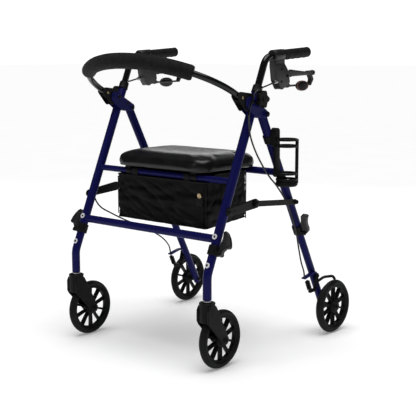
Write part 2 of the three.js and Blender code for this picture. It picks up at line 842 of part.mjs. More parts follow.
// ---- folding side braces ----
const BRACE_X0 = LEG_X + LEG_RADIUS + 1.5;

function frontBrace() {
  const link = [
    [...BRACE_FRONT, 12],
    [BRACE_MIDDLE[0] - 30, BRACE_MIDDLE[1] - 4, 13],
    [...BRACE_MIDDLE, 15],
  ];
  const bolt = pin(...BRACE_FRONT, BRACE_X0 - 1, BRACE_X0 + 9, 6);
  return join(hullPlate(link, BRACE_X0, BRACE_X0 + 5), bolt);
}

function rearBrace() {
  const x0 = BRACE_X0 + 5 + GAP;
  const link = [
    [...BRACE_MIDDLE, 9],
    [...BRACE_REAR, 9],
  ];
  return join(
    hullPlate(link, x0, x0 + 5),
    pin(...BRACE_REAR, BRACE_X0 - 1, x0 + 11, 6),
  );
}

// ---- cup holder ----
function cupHolder() {
  const centre = (z) => [CUP_X, CUP_Y, z];
  const ring = (z, height, radius) =>
    cut(
      rod(centre(z), centre(z + height), radius, 20),
      rod(centre(z - 1), centre(z + height + 1), radius - 4, 20),
    );
  const innerX = CUP_X - CUP_RADIUS;
  const outerX = CUP_X + CUP_RADIUS;
  const tray = rod(centre(518), centre(524), 30, 16, 34);
  const [, clampY, clampZ] = byRearLeg(658);
  const clampBody = join(
    rod(byRearLeg(646), byRearLeg(670), 17.5, LEG_SIDES),
    box(LEG_X + 12, innerX + 4, clampY - 11, clampY + 11, clampZ - 14, clampZ + 14),
  );
  const clampBore = rod(byRearLeg(620), byRearLeg(700), LEG_RADIUS + 2 * GAP, LEG_SIDES);
  return join(
    cut(clampBody, clampBore),
    box(innerX - 1, innerX + 5, CUP_Y - 14, CUP_Y + 10, 520, 690),
    ring(CUP_TOP_Z - 10, 16, CUP_RADIUS),
    ring(CUP_LOW_Z - 8, 12, CUP_RADIUS),
    box(outerX - 5, outerX, CUP_Y - 7, CUP_Y + 7, 519, CUP_TOP_Z + 5),
    tray,
    box(innerX, outerX - 1, CUP_Y - 7, CUP_Y + 7, 518, 523),
  );
}

// ---- brake cables ----
// Each route is listed as [out from the leg plane, y, z], from the brake housing to the rear brake.
function brakeCable(route) {
  const path = smoothPath(route.map(([out, y, z]) => [LEG_X + out, y, z]));
  return tubeAlong(path, 2.6, 5, 40);
}

const leftCableRoute = [
  [11, -26.5, 819.6],
  [18, -50, 816],
  [24, -82, 811],
  [24, -106, 803],
  [24, -121, 786],
  [23, -135, 760],
  [22, -140, 735],
  [22, -138, 706],
  [20, -132, 678],
  [16, -103, 630],
  [12, -58, 577],
  [10, -20, 540],
  [10, 10, 515],
  [10, 48, 476],
  [8, 78, 440],
  [8, 100, 402],
  [12, 114, 360],
  [12, 131, 300],
  [12, 148, 250],
  [14, 160, 225],
  [14, 163, 212.4],
];
const rightCableRoute = [
  [11, -26.5, 819.6],
  [24, -44, 812],
  [44, -48, 790],
  [48, -52, 755],
  [42, -62, 722],
  [24, -92, 685],
  [13, -120, 640],
  [11, -150, 590],
  [10, -172, 540],
  [9, -194, 488],
  [8, -206, 450],
  [-4, -196, 418],
  [-14, -150, 388],
  [-16, -100, 363],
  [-16, -30, 332],
  [-14, 66, 287],
  [-10, 107, 260],
  [4, 142, 234],
  [14, 160, 222],
  [14, 163, 212.4],
];

// ---- assembly ----
const group = new THREE.Group();
group.name = "rollator_walker";

function geometryOf(solid, flipped) {
  const { numProp, vertProperties, triVerts } = solid.getMesh();
  const positions = [];
  for (let i = 0; i < vertProperties.length; i += numProp) {
    positions.push(
      (flipped ? -vertProperties[i] : vertProperties[i]) - CENTRE_X,
      vertProperties[i + 1] - CENTRE_Y,
      vertProperties[i + 2],
    );
  }
  const order = [];
  for (let i = 0; i < triVerts.length; i += 3) {
    const [a, b, c] = [triVerts[i], triVerts[i + 1], triVerts[i + 2]];
    order.push(...(flipped ? [a, c, b] : [a, b, c]));
  }
  const geometry = new THREE.BufferGeometry();
  geometry.setAttribute("position", new THREE.Float32BufferAttribute(positions, 3));
  geometry.setIndex(order);
  geometry.computeVertexNormals();
  return geometry;
}

function single(name, solid, material) {
  const mesh = new THREE.Mesh(geometryOf(solid, false), material);
  mesh.name = name;
  group.add(mesh);
}

// Adds a solid drawn for the left side on the right side.
function mirrored(name, solid, material) {
  const mesh = new THREE.Mesh(geometryOf(solid, true), material);
  mesh.name = name;
  group.add(mesh);
}

function pair(name, solid, material) {
  single(name + "_left", solid, material);
  mirrored(name + "_right", solid, material);
}

pair("front_leg", frontLeg(), powderBlue);
single("upper_crossbar", crossbar(byFrontLeg, UPPER_BAR_Z, UPPER_BAR_RADIUS, 1.5), powderBlue);
single("lower_crossbar", crossbar(byFrontLeg, LOWER_BAR_Z, LOWER_BAR_RADIUS, 1.5), powderBlue);
pair("top_bracket", topBracket(), powderBlue);
pair("leg_sleeve", legSleeve(), blackPlastic);
pair("height_knob", heightKnob(), blackPlastic);

pair("front_clamp_collar", clampCollar(byFrontLeg, FRONT_COLLAR_Z, FRONT_LEG_BOTTOM), blackPlastic);
pair("front_clamp_lever", clampLever(byFrontLeg, FRONT_COLLAR_Z, frontLeverOutline), blackPlastic);
pair("front_lower_leg", frontLowerLeg(), powderBlue);
pair("caster_fork", casterFork(), blackPlastic);
pair("front_rim", rim(LEG_X, STEM_Y + CASTER_TRAIL), blackPlastic);
pair("front_tyre", tyre(LEG_X, STEM_Y + CASTER_TRAIL), rubber);

pair("rear_leg", rearLeg(), powderBlue);
single("rear_crossbar", crossbar(byRearLeg, REAR_BAR_Z, REAR_BAR_RADIUS, 1.5), powderBlue);
pair("rear_clamp_collar", clampCollar(byRearLeg, REAR_COLLAR_Z, REAR_LEG_BOTTOM), blackPlastic);
pair("rear_clamp_lever", clampLever(byRearLeg, REAR_COLLAR_Z, rearLeverOutline), blackPlastic);
pair("rear_lower_leg", rearLowerLeg(), powderBlue);
pair("rear_rim", rim(REAR_WHEEL_X, REAR_AXLE_Y), blackPlastic);
pair("rear_tyre", tyre(REAR_WHEEL_X, REAR_AXLE_Y), rubber);
pair("brake_arm", brakeArm(), blackPlastic);

pair("handle_tube", handleTube(), blackChrome);
pair("grip", grip(), rubber);
pair("brake_housing", brakeHousing(), blackPlastic);
pair("brake_lever", brakeLever(), blackPlastic);
single("brake_cable_left", brakeCable(leftCableRoute), rubber);
mirrored("brake_cable_right", brakeCable(rightCableRoute), rubber);

single("backrest_bow", backrestBow(), blackChrome);
single("backrest_pad", backrestPad(), foam);
pair("backrest_socket", backrestSocket(), blackPlastic);

single("seat_board", seatBoard(), plywood);
single("seat_cushion", seatCushion(), vinyl);
single("bag", bag(), nylon);
pair("front_brace", frontBrace(), blackPlastic);
pair("rear_brace", rearBrace(), blackPlastic);
single("cup_holder", cupHolder(), blackPlastic);

export default group;
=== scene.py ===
"""Rollator walker: the detailed pieces that are seen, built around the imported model.

The script draws in millimetres, with X from the walker's middle plane, -Y to the front and Z from the
floor. design() turns such a point into Blender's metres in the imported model's frame. A piece that has a
twin is drawn on the left, and mirrored for the right.
"""

import math

import bmesh
import bpy
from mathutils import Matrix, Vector, noise


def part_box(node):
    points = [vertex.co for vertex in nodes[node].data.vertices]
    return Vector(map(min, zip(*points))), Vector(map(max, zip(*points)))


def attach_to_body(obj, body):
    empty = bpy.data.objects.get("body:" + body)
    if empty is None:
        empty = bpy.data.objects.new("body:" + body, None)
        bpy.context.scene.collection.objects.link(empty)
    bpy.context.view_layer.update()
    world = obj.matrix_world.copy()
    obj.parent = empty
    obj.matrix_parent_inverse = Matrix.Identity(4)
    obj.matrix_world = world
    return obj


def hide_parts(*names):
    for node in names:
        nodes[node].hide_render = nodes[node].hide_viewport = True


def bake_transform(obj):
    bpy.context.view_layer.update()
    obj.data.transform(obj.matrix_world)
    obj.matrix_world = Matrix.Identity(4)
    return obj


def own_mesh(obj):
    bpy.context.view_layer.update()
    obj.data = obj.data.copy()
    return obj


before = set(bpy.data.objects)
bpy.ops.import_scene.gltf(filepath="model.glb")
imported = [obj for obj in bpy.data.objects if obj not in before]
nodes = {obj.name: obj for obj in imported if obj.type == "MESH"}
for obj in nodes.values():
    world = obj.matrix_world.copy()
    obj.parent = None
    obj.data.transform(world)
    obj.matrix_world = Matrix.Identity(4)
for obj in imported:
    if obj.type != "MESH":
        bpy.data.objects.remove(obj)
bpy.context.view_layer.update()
scene = bpy.context.scene

MM = 0.001
SIDES = ("left", "right")

# ---- driving dimensions, in millimetres; a point in the leg's plane is (y, z) ----
LEG_X = 278
LEG_RADIUS = 12.7
PAINTED_LEG_RADIUS = 13.7
PAINTED_FRONT_LOWER_RADIUS = 13
PAINTED_REAR_LOWER_RADIUS = 12
HANDLE_RADIUS = 10.6
STEM_Y = -299
STEM_TOP = 216
STEM_CAP_Z = 203
BEND_Z = 285
FRONT_LEAN = 0.432
REAR_LEAN = 0.5277
PIVOT = (-54, 733)
FRONT_LEG_ENDS = (345, 798)
FRONT_LOWER_LEG_TOP = 466
REAR_LEG_ENDS = (351, 742)
REAR_LOWER_LEG_TOP = 492
SLEEVE_ENDS = (794, 816)
LEG_CAP_Z = 389
LEG_BUTTON_Z = 311
FRONT_COLLAR_Z = 354
REAR_COLLAR_Z = 360
UPPER_BAR_Z = 544.5
UPPER_BAR_RADIUS = 9.5
LOWER_BAR_Z = 385
LOWER_BAR_RADIUS = 12.2
REAR_BAR_Z = 549.7
REAR_BAR_RADIUS = 11
WHEEL_RADIUS = 87.5
TYRE_HALF_WIDTH = 14
RIM_EDGE = 70.5
HUB_HALF_WIDTH = 16.5
CASTER_AXLE_Y = -242
CASTER_AXLE_REACH = 27
REAR_WHEEL_X = 320.4
REAR_AXLE_Y = PIVOT[0] + REAR_LEAN * (PIVOT[1] - WHEEL_RADIUS)
KNOB = (-86, 778)
HANDLE_FOOT_Z = 652
HANDLE_CORNER = (-33.3, 900.1)
HANDLE_END_Y = 164
GRIP_RISE = 0.066
GRIP_START_Y = 45
GRIP_LENGTH = 134
HOUSING_HALF_WIDTH = 13
BOW_HINGE = (-132, 773)
BOW_ROOT = (-170, 793)
BOW_REACH = 181
BOW_RISE = 0.529
BOW_RADIUS = 9.5
PAD_RADIUS = 23
PAD_HALF_WIDTH = 213
SOCKET_BOLT = (-113, 770)
SOCKET_RIVET = (-158, 784)
BRACKET_RIVET = (-72, 746)
STRAP_X = 137
LEVER_PLATE = (140, 811)
LEVER_BALL = (206, 850)
SEAT = {"half_width": 196, "front": -218, "back": 62, "corner": 56}
BOARD = {"half_width": 184, "front": -205, "back": 50, "corner": 32, "bottom": 562, "top": 574}
BAG = {"half_width": 186, "front": -198, "back": -5, "bottom": 396, "top": 553, "front_top": 531}
BRACE_FRONT = (-223, 461)
BRACE_MIDDLE = (-101, 472)
BRACE_REAR = (92.7, 455)
BRACE_X = LEG_X + LEG_RADIUS + 1.5
BRAKE_PIVOT_Z = 196
CUP = (336.5, -4)
CUP_RADIUS = 32
CABLE_RADIUS = 2.6

# ---- camera and light, in metres, degrees and watts; the lens is in millimetres ----
LENS = 83.57
SENSOR_WIDTH = 36
CAMERA_PLACE = (2.0233, -2.3279, 0.9116)
CAMERA_TURN = (80.861, 0, 40.651)
FLOOR_HALF_WIDTH = 60.0
FLOOR_GLOW = 0.22
SKY_LIGHT = 0.06
SKY_SEEN = 1.2
SUN_TILT = (4, 5, 0)
SUN_STRENGTH = 2.42
SUN_SPREAD = 58
WHITE_LIGHT = (1, 1, 1, 1)
SHADE_STOPS = (0.35, 0.65)

front_axle = (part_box("front_tyre_left")[0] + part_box("front_tyre_right")[1]) / 2
MIDDLE = Vector((front_axle.x, 0, 0))
MIDDLE.y = sum(corner.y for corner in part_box("front_tyre_left")) / 2 - CASTER_AXLE_Y * MM


def design(point):
    return Vector(point) * MM + MIDDLE


def front_leg_point(z, ahead=0):
    """A point on the front leg's line, or ahead of that line and square to it."""
    lean = math.atan(FRONT_LEAN)
    y = STEM_Y + FRONT_LEAN * (z - BEND_Z)
    return (LEG_X, y - ahead * math.cos(lean), z + ahead * math.sin(lean))


def rear_leg_point(z):
    return (LEG_X, PIVOT[0] + REAR_LEAN * (PIVOT[1] - z), z)


# ---- shapes: each is a list of vertices and a list of faces ----
def ring_faces(rings, sides, closed=False):
    faces = []
    spans = rings if closed else rings - 1
    for ring in range(spans):
        near, far = ring * sides, (ring + 1) % rings * sides
        for i in range(sides):
            j = (i + 1) % sides
            faces.append((near + i, near + j, far + j, far + i))
    if not closed:
        faces.append(tuple(reversed(range(sides))))
        faces.append(tuple(range((rings - 1) * sides, rings * sides)))
    return faces


def fillet(points, bend, steps=10):
    """The points of a bent line whose corners are rounded; bend is the run taken from each side."""
    corners = [Vector(p) for p in points]
    line = [corners[0]]
    for before, corner, after in zip(corners, corners[1:], corners[2:]):
        start = corner + (before - corner).normalized() * bend
        end = corner + (after - corner).normalized() * bend
        for i in range(steps + 1):
            t = i / steps
            line.append(start * (1 - t) ** 2 + corner * 2 * t * (1 - t) + end * t * t)
    line.append(corners[-1])
    return line


def smooth_line(points, steps):
    """A centripetal Catmull-Rom curve through the points."""
    knots = [Vector(p) for p in points]
    knots = [knots[0] * 2 - knots[1], *knots, knots[-1] * 2 - knots[-2]]
    line = []
    for a, b, c, d in zip(knots, knots[1:], knots[2:], knots[3:]):
        t1 = math.sqrt((b - a).length)
        t2 = t1 + math.sqrt((c - b).length)
        t3 = t2 + math.sqrt((d - c).length)
        for i in range(steps):
            t = t1 + (t2 - t1) * i / steps
            ab = a.lerp(b, t / t1)
            bc = b.lerp(c, (t - t1) / (t2 - t1))
            cd = c.lerp(d, (t - t2) / (t3 - t2))
            abc = ab.lerp(bc, t / t2)
            bcd = bc.lerp(cd, (t - t1) / (t3 - t1))
            line.append(abc.lerp(bcd, (t - t1) / (t2 - t1)))
    line.append(knots[-2])
    return line


def tube(points, radius, sides, wave=None):
    """A round bar along the points. radius is a number or one per point; wave(i, angle) scales it."""
    points = [Vector(p) for p in points]
    radii = radius if isinstance(radius, list) else [radius] * len(points)
    across = Vector((1, 0, 0))
    if abs((points[1] - points[0]).normalized().dot(across)) > 0.9:
        across = Vector((0, 0, 1))
    vertices = []
    for i, point in enumerate(points):
        along = (points[min(i + 1, len(points) - 1)] - points[max(i - 1, 0)]).normalized()
        across = (across - along * across.dot(along)).normalized()
        third = along.cross(across)
        for k in range(sides):
            angle = 2 * math.pi * k / sides
            size = radii[i] * (wave(i, angle) if wave else 1)
            vertices.append(point + (across * math.cos(angle) + third * math.sin(angle)) * size)
    return vertices, ring_faces(len(points), sides)


def spoke(axis, angle):
    """A unit arrow square to a unit axis, turned about it by an angle."""
    across = axis.orthogonal().normalized()
    return across * math.cos(angle) + axis.cross(across) * math.sin(angle)


def lathe(profile, base, axis, sides, closed=False):
    """A turned solid: profile lists (radius, distance along the axis from base)."""
    base, axis = Vector(base), Vector(axis).normalized()
    spokes = [spoke(axis, 2 * math.pi * k / sides) for k in range(sides)]
    vertices = [base + axis * distance + arm * radius for radius, distance in profile for arm in spokes]
    return vertices, ring_faces(len(profile), sides, closed)


def rounded_rod(start, end, radius, edge=1.0, sides=32):
    """A straight bar whose two end edges are rounded."""
    start, end = Vector(start), Vector(end)
    along = (end - start).normalized()
    length = (end - start).length
    steps = [(radius - edge, 0), (radius - 0.3 * edge, 0.3 * edge), (radius, edge)]
    profile = steps + [(r, length - s) for r, s in reversed(steps)]
    return lathe(profile, start, along, sides)


def weld_ring(centre, radius):
    """The bead where a crossbar meets a leg."""
    steps, around = 24, 8
    bead, ripple, ripples = 1.5, 0.25, 6
    centre, axis = Vector(centre), Vector((1, 0, 0))
    vertices = []
    for k in range(steps):
        angle = 2 * math.pi * k / steps
        thick = bead + ripple * math.sin(ripples * angle)
        for m in range(around):
            turn = 2 * math.pi * m / around
            offset = spoke(axis, angle) * (radius + thick * math.cos(turn)) + axis * thick * math.sin(turn)
            vertices.append(centre + offset)
    return vertices, ring_faces(steps, around, closed=True)


def spring_coil(start, end, radius, wire, turns):
    start, end = Vector(start), Vector(end)
    along = (end - start).normalized()
    steps = turns * 16
    line = []
    for i in range(steps + 1):
        arm = spoke(along, 2 * math.pi * turns * i / steps)
        line.append(start + (end - start) * (i / steps) + arm * radius)
    return tube(line, wire, 8)


def hull_outline(circles):
    """The convex outline around circles given as (u, v, radius)."""
    steps, straight = 32, 1e-6
    points = []
    for u, v, radius in circles:
        for i in range(steps):
            angle = 2 * math.pi * (i + 0.5) / steps
            points.append((u + radius * math.cos(angle), v + radius * math.sin(angle)))
    points.sort()

    def chain(ordered):
        kept = []
        for p in ordered:
            while len(kept) > 1:
                (ax, ay), (bx, by) = kept[-2], kept[-1]
                if (bx - ax) * (p[1] - ay) - (by - ay) * (p[0] - ax) > straight:
                    break
                kept.pop()
            kept.append(p)
        return kept[:-1]

    return chain(points) + chain(points[::-1])


def arc(u, v, radius, start, sweep, steps):
    """Points on an arc around (u, v), its angles in degrees."""
    angles = [math.radians(start + sweep * i / steps) for i in range(steps + 1)]
    return [(u + radius * math.cos(angle), v + radius * math.sin(angle)) for angle in angles]


def rounded_rectangle(half_width, front, back, corner, steps=10):
    x = half_width - corner
    corners = ((x, back - corner), (-x, back - corner), (-x, front + corner), (x, front + corner))
    outline = []
    for quarter, centre in enumerate(corners):
        outline += arc(*centre, corner, 90 * quarter, 90, steps)
    return outline


def bar_loop(bar_y, bar_z, radius, start, sweep, steps, thinned):
    """A strip bent round a crossbar, seen from the side: its outer line, and its inner line back."""
    outer = arc(bar_y, bar_z, radius, start, sweep, steps)
    inner = [(bar_y + (y - bar_y) * thinned, bar_z + (z - bar_z) * thinned) for y, z in reversed(outer)]
    return outer, inner


def plate(outline, low, high, origin=(0, 0, 0), u=(0, 1, 0), v=(0, 0, 1), w=(1, 0, 0)):
    """An outline in the plane of u and v, made solid from low to high along w."""
    origin, u, v, w = Vector(origin), Vector(u), Vector(v), Vector(w)
    flat = [origin + u * a + v * b for a, b in outline]
    vertices = [p + w * low for p in flat] + [p + w * high for p in flat]
    return vertices, ring_faces(2, len(outline))


def block(x0, x1, y0, y1, z0, z1):
    return plate([(y0, z0), (y1, z0), (y1, z1), (y0, z1)], x0, x1)


def side_bolt(y, z, x, direction, radius=5, height=3.5):
    """A domed bolt head on a washer, its axis along X."""
    washer = [(radius * 1.35, 0), (radius * 1.35, 0.8)]
    head = [(radius, 0.8), (radius * 0.97, height * 0.55), (radius * 0.75, height * 0.85)]
    return lathe([*washer, *head, (radius * 0.3, height)], (x, y, z), (direction, 0, 0), 24)


def mirrored(shape):
    vertices, faces = shape
    return [Vector((-v[0], v[1], v[2])) for v in vertices], [tuple(reversed(f)) for f in faces]


# ---- pieces ----
def set_values(target, **values):
    for name, value in values.items():
        setattr(target, name, value)


def modify(obj, kind, **settings):
    """Adds a modifier; apply_modifiers() then makes it part of the mesh."""
    set_values(obj.modifiers.new(kind.lower(), kind), **settings)


def apply_modifiers(obj):
    depsgraph = bpy.context.evaluated_depsgraph_get()
    mesh = bpy.data.meshes.new_from_object(obj.evaluated_get(depsgraph))
    obj.modifiers.clear()
    obj.data = mesh


def shade(obj, sharp):
    obj.data.shade_smooth()
    obj.data.set_sharp_from_angle(angle=math.radians(sharp))


def attach(obj, finish, body, replaced=""):
    """Gives a piece its material and its body, and hides the CAD node it stands for."""
    material, slot = finish
    obj.data.materials.clear()
    obj.data.materials.append(material)
    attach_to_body(obj, body)
    if replaced:
        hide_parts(replaced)
    return obj


def mesh_object(name, shapes):
    mesh = bpy.data.meshes.new(name)
    vertices, faces = [], []
    for more_vertices, more_faces in shapes:
        base = len(vertices)
        vertices += [design(v) for v in more_vertices]
        faces += [tuple(base + i for i in face) for face in more_faces]
    mesh.from_pydata(vertices, [], faces)
    work = bmesh.new()
    work.from_mesh(mesh)
    bmesh.ops.recalc_face_normals(work, faces=work.faces)
    work.to_mesh(mesh)
    work.free()
    obj = bpy.data.objects.new(name, mesh)
    scene.collection.objects.link(obj)
    return obj


def piece(name, shapes, finish, body, replaced="", bevel=0, sharp=35, side="left"):
    """A piece of one or more shapes. finish is a (material, record slot) pair."""
    if side == "right":
        shapes = [mirrored(shape) for shape in shapes]
    obj = mesh_object(name, shapes)
    if bevel:
        turn = math.radians(40)
        modify(obj, "BEVEL", width=bevel * MM, segments=3, limit_method="ANGLE", angle_limit=turn)
        apply_modifiers(obj)
    shade(obj, sharp)
    return attach(obj, finish, body, replaced)


def sided(side, name, *shapes_and_finish, **looks):
    """A piece that has a twin on the other side, with the side in its name."""
    return piece(f"{name}_{side}", *shapes_and_finish, side=side, **looks)


def moulded(side, name, node, finish, body, voxel, soften, keep):
    """A CAD node's shape with every edge rounded, as a moulded or pressed piece has."""
    obj = bpy.data.objects.new(f"{name}_{side}", nodes[node].data.copy())
    scene.collection.objects.link(obj)
    modify(obj, "REMESH", mode="VOXEL", voxel_size=voxel * MM)
    modify(obj, "SMOOTH", factor=0.5, iterations=soften)
    modify(obj, "DECIMATE", ratio=keep)
    apply_modifiers(obj)
    shade(obj, 50)
    return attach(obj, finish, body, node)


# ---- materials ----
def set_sockets(node, values):
    for name, value in values.items():
        node.inputs[name.replace("_", " ")].default_value = value


class Nodes:
    """Adds shader nodes to one material, wired to its Principled shader."""

    def __init__(self, name, **constants):
        self.material = bpy.data.materials.new(name)
        self.material.use_nodes = True
        self.tree = self.material.node_tree
        self.shader = self.tree.nodes["Principled BSDF"]
        set_sockets(self.shader, constants)
        self.place = self.tree.nodes.new("ShaderNodeTexCoord").outputs["Object"]

    def link(self, start, end):
        self.tree.links.new(start, end)

    def add(self, kind, socket, source, **values):
        """A node whose one socket is linked to a source; the others named are set."""
        node = self.tree.nodes.new("ShaderNode" + kind)
        set_sockets(node, values)
        self.link(source, node.inputs[socket])
        return node

    def noise(self, scale, detail):
        return self.add("TexNoise", "Vector", self.place, Scale=scale, Detail=detail).outputs["Fac"]

    def cells(self, scale, feature="F1"):
        texture = self.add("TexVoronoi", "Vector", self.place, Scale=scale)
        texture.feature = feature
        return texture.outputs["Distance"]

    def wave(self, scale, direction, stretch=None):
        place = self.place
        if stretch:
            place = self.add("Mapping", "Vector", place, Scale=stretch).outputs["Vector"]
        texture = self.add("TexWave", "Vector", place, Scale=scale, Distortion=0.6)
        texture.bands_direction = direction
        return texture.outputs["Fac"]

    def combine(self, a, b, operation):
        node = self.add("Math", 0, a)
        node.operation = operation
        self.link(b, node.inputs[1])
        return node.outputs["Value"]

    def shades(self, scale, detail, low, high):
        """A colour that drifts between two shades over the surface."""
        node = self.add("ValToRGB", "Fac", self.noise(scale, detail))
        for stop, position, colour in zip(node.color_ramp.elements, SHADE_STOPS, (low, high)):
            stop.position, stop.color = position, (*colour, 1)
        self.link(node.outputs["Color"], self.shader.inputs["Base Color"])

    def rough(self, scale, detail, low, high):
        """A roughness that drifts between two values over the surface."""
        node = self.add("MapRange", "Value", self.noise(scale, detail), To_Min=low, To_Max=high)
        self.link(node.outputs["Result"], self.shader.inputs["Roughness"])

    def bump(self, height, depth):
        """Adds the fine relief, and gives the finished material."""
        node = self.add("Bump", "Height", height, Strength=1.0, Distance=depth * MM)
        self.link(node.outputs["Normal"], self.shader.inputs["Normal"])
        return self.material


def powder_coat():
    """Navy powder coat: fine metallic flakes under an orange-peel surface."""
    looks = {"Metallic": 0.06, "Coat_Weight": 0.03, "Coat_Roughness": 0.1, "Specular_IOR_Level": 0.06}
    made = Nodes("navy_powder_coat", **looks)
    made.shades(1800, 2, (0.004, 0.004, 0.052), (0.010, 0.010, 0.100))
    made.rough(60, 4, 0.26, 0.4)
    return made.bump(made.noise(420, 2), 0.05)


def moulded_plastic():
    """Matt black moulded plastic with a fine spark-eroded grain."""
    made = Nodes("moulded_black_plastic", Specular_IOR_Level=0.12)
    made.shades(40, 4, (0.0035, 0.0035, 0.0038), (0.007, 0.007, 0.0075))
    made.rough(90, 3, 0.42, 0.6)
    return made.bump(made.noise(1500, 2), 0.06)


def satin_plastic_painted_light():
    """Smoother black plastic of the brake housings and levers, which catches broad soft highlights. Its base
    colour is a lighter copy of the moulded black plastic: painted light on the housings and levers.
    """
    made = Nodes("satin_black_plastic_painted_light", Specular_IOR_Level=0.45)
    # painted light: these shades are lighter than the moulded black plastic's, so the housings and levers
    # look lit
    made.shades(40, 4, (0.006, 0.006, 0.0068), (0.011, 0.011, 0.0125))
    made.rough(90, 3, 0.3, 0.44)
    return made.bump(made.noise(1100, 2), 0.04)


def gloss_black():
    """Glossy black paint on bent tube."""
    made = Nodes("gloss_black_tube", Coat_Weight=0.4, Coat_Roughness=0.04, Specular_IOR_Level=0.12)
    made.shades(30, 3, (0.003, 0.003, 0.0035), (0.006, 0.006, 0.007))
    made.rough(80, 3, 0.12, 0.24)
    return made.bump(made.noise(300, 2), 0.02)


def grip_rubber():
    """Soft dark rubber with a close stippled surface."""
    made = Nodes("grip_rubber", Specular_IOR_Level=0.12)
    made.shades(50, 4, (0.006, 0.006, 0.0065), (0.012, 0.012, 0.013))
    made.rough(120, 3, 0.5, 0.7)
    return made.bump(made.cells(1100), 0.12)


def tyre_rubber():
    """Solid black tyre, slightly dusty."""
    made = Nodes("tyre_rubber", Specular_IOR_Level=0.15)
    made.shades(35, 5, (0.004, 0.004, 0.0045), (0.010, 0.010, 0.011))
    made.rough(70, 4, 0.48, 0.72)
    return made.bump(made.noise(900, 3), 0.1)


def foam_cover():
    """Closed-cell foam: dark grey, matt, with a skin of tiny pores."""
    made = Nodes("foam_sleeve", Specular_IOR_Level=0.12, Sheen_Weight=0.03, Sheen_Roughness=0.5)
    made.shades(70, 4, (0.006, 0.006, 0.0066), (0.0115, 0.0115, 0.0125))
    made.rough(150, 3, 0.72, 0.88)
    return made.bump(made.cells(900), 0.15)


def seat_vinyl():
    """Black vinyl with a shallow leather grain under a thin clear coat."""
    made = Nodes("seat_vinyl", Coat_Weight=0.22, Coat_Roughness=0.16, Specular_IOR_Level=0.22)
    made.shades(25, 5, (0.003, 0.003, 0.0034), (0.007, 0.007, 0.0078))
    made.rough(60, 4, 0.26, 0.4)
    return made.bump(made.combine(made.cells(520, "DISTANCE_TO_EDGE"), made.noise(1300, 2), "ADD"), 0.10)


def bag_nylon():
    """Coated nylon: a close plain weave with uneven gloss."""
    made = Nodes("bag_nylon", Sheen_Weight=0.01, Sheen_Roughness=0.4, Specular_IOR_Level=0.07)
    made.shades(30, 5, (0.0006, 0.0006, 0.0008), (0.002, 0.002, 0.0023))
    made.rough(22, 4, 0.26, 0.42)
    across = made.wave(330, "X")
    lengthwise = made.wave(330, "DIAGONAL", stretch=(0, 1, 1))
    return made.bump(made.combine(across, lengthwise, "MULTIPLY"), 0.12)


def webbing():
    """Black woven edging tape."""
    made = Nodes("edging_tape", Sheen_Weight=0.04, Sheen_Roughness=0.5, Specular_IOR_Level=0.15)
    made.shades(60, 4, (0.003, 0.003, 0.003), (0.007, 0.007, 0.0075))
    made.rough(90, 3, 0.6, 0.8)
    return made.bump(made.wave(500, "DIAGONAL"), 0.15)


def plated_steel():
    """Zinc-plated washers and cable adjusters with faint turning marks."""
    made = Nodes("plated_steel", Metallic=1.0)
    made.shades(150, 4, (0.42, 0.42, 0.44), (0.62, 0.62, 0.64))
    made.rough(400, 3, 0.2, 0.38)
    return made.bump(made.noise(1400, 2), 0.03)


def black_steel():
    """Black painted steel, semi-gloss."""
    made = Nodes("black_painted_steel", Metallic=0.1, Specular_IOR_Level=0.12)
    made.shades(45, 4, (0.004, 0.004, 0.0045), (0.008, 0.008, 0.0088))
    made.rough(80, 3, 0.28, 0.45)
    return made.bump(made.noise(500, 2), 0.04)


def brass_plate():
    """Aged brass of the snap and the small rivets."""
    made = Nodes("aged_brass", Metallic=1.0)
    made.shades(300, 4, (0.30, 0.20, 0.10), (0.62, 0.50, 0.32))
    made.rough(500, 3, 0.25, 0.45)
    return made.bump(made.noise(900, 2), 0.03)


def white_plastic():
    """White plastic of the button rings."""
    made = Nodes("white_plastic")
    made.shades(200, 3, (0.62, 0.62, 0.64), (0.75, 0.75, 0.77))
    made.rough(300, 2, 0.35, 0.5)
    return made.bump(made.noise(1200, 2), 0.03)


def painted_board():
    """Black painted plywood; the ply lines show faintly at its edge."""
    made = Nodes("painted_board")
    made.shades(14, 5, (0.008, 0.0075, 0.007), (0.02, 0.018, 0.016))
    made.rough(60, 4, 0.5, 0.7)
    return made.bump(made.wave(180, "Z"), 0.15)


def russet_plastic():
    """Red-brown plastic rim of the brake lever's plate."""
    made = Nodes("russet_plastic")
    made.shades(120, 4, (0.10, 0.032, 0.018), (0.17, 0.06, 0.035))
    made.rough(200, 3, 0.35, 0.5)
    return made.bump(made.noise(900, 2), 0.04)


BLUE = (powder_coat(), "powder_blue")
PLASTIC = (moulded_plastic(), "black_plastic")
# painted light: a lighter copy of the black plastic for the housings and levers
SATIN_PAINTED_LIGHT = (satin_plastic_painted_light(), "black_plastic")
GLOSS = (gloss_black(), "black_chrome")
GRIP = (grip_rubber(), "grip_rubber")
TYRE = (tyre_rubber(), "tyre")
FOAM = (foam_cover(), "foam")
VINYL = (seat_vinyl(), "vinyl")
NYLON = (bag_nylon(), "nylon")
TAPE = (webbing(), "nylon")
STEEL = (plated_steel(), "black_chrome")
DARK_STEEL = (black_steel(), "black_plastic")
BRASS = (brass_plate(), "black_chrome")
WHITE = (white_plastic(), "black_plastic")
PAINTED_BOARD = (painted_board(), "board")
RUSSET = (russet_plastic(), "black_plastic")
SHEATH = (GLOSS[0], "cable_sheath")


# ---- camera, floor and light ----
def place_in_scene(name, data, location=(0, 0, 0), turn=(0, 0, 0)):
    obj = bpy.data.objects.new(name, data)
    obj.location = location
    obj.rotation_euler = turn
    scene.collection.objects.link(obj)
    return obj


def set_camera():
    lens = bpy.data.cameras.new("camera")
    set_values(lens, lens=LENS, sensor_width=SENSOR_WIDTH)
    turn = [math.radians(angle) for angle in CAMERA_TURN]
    scene.camera = place_in_scene("camera", lens, Vector(CAMERA_PLACE) + MIDDLE, turn)


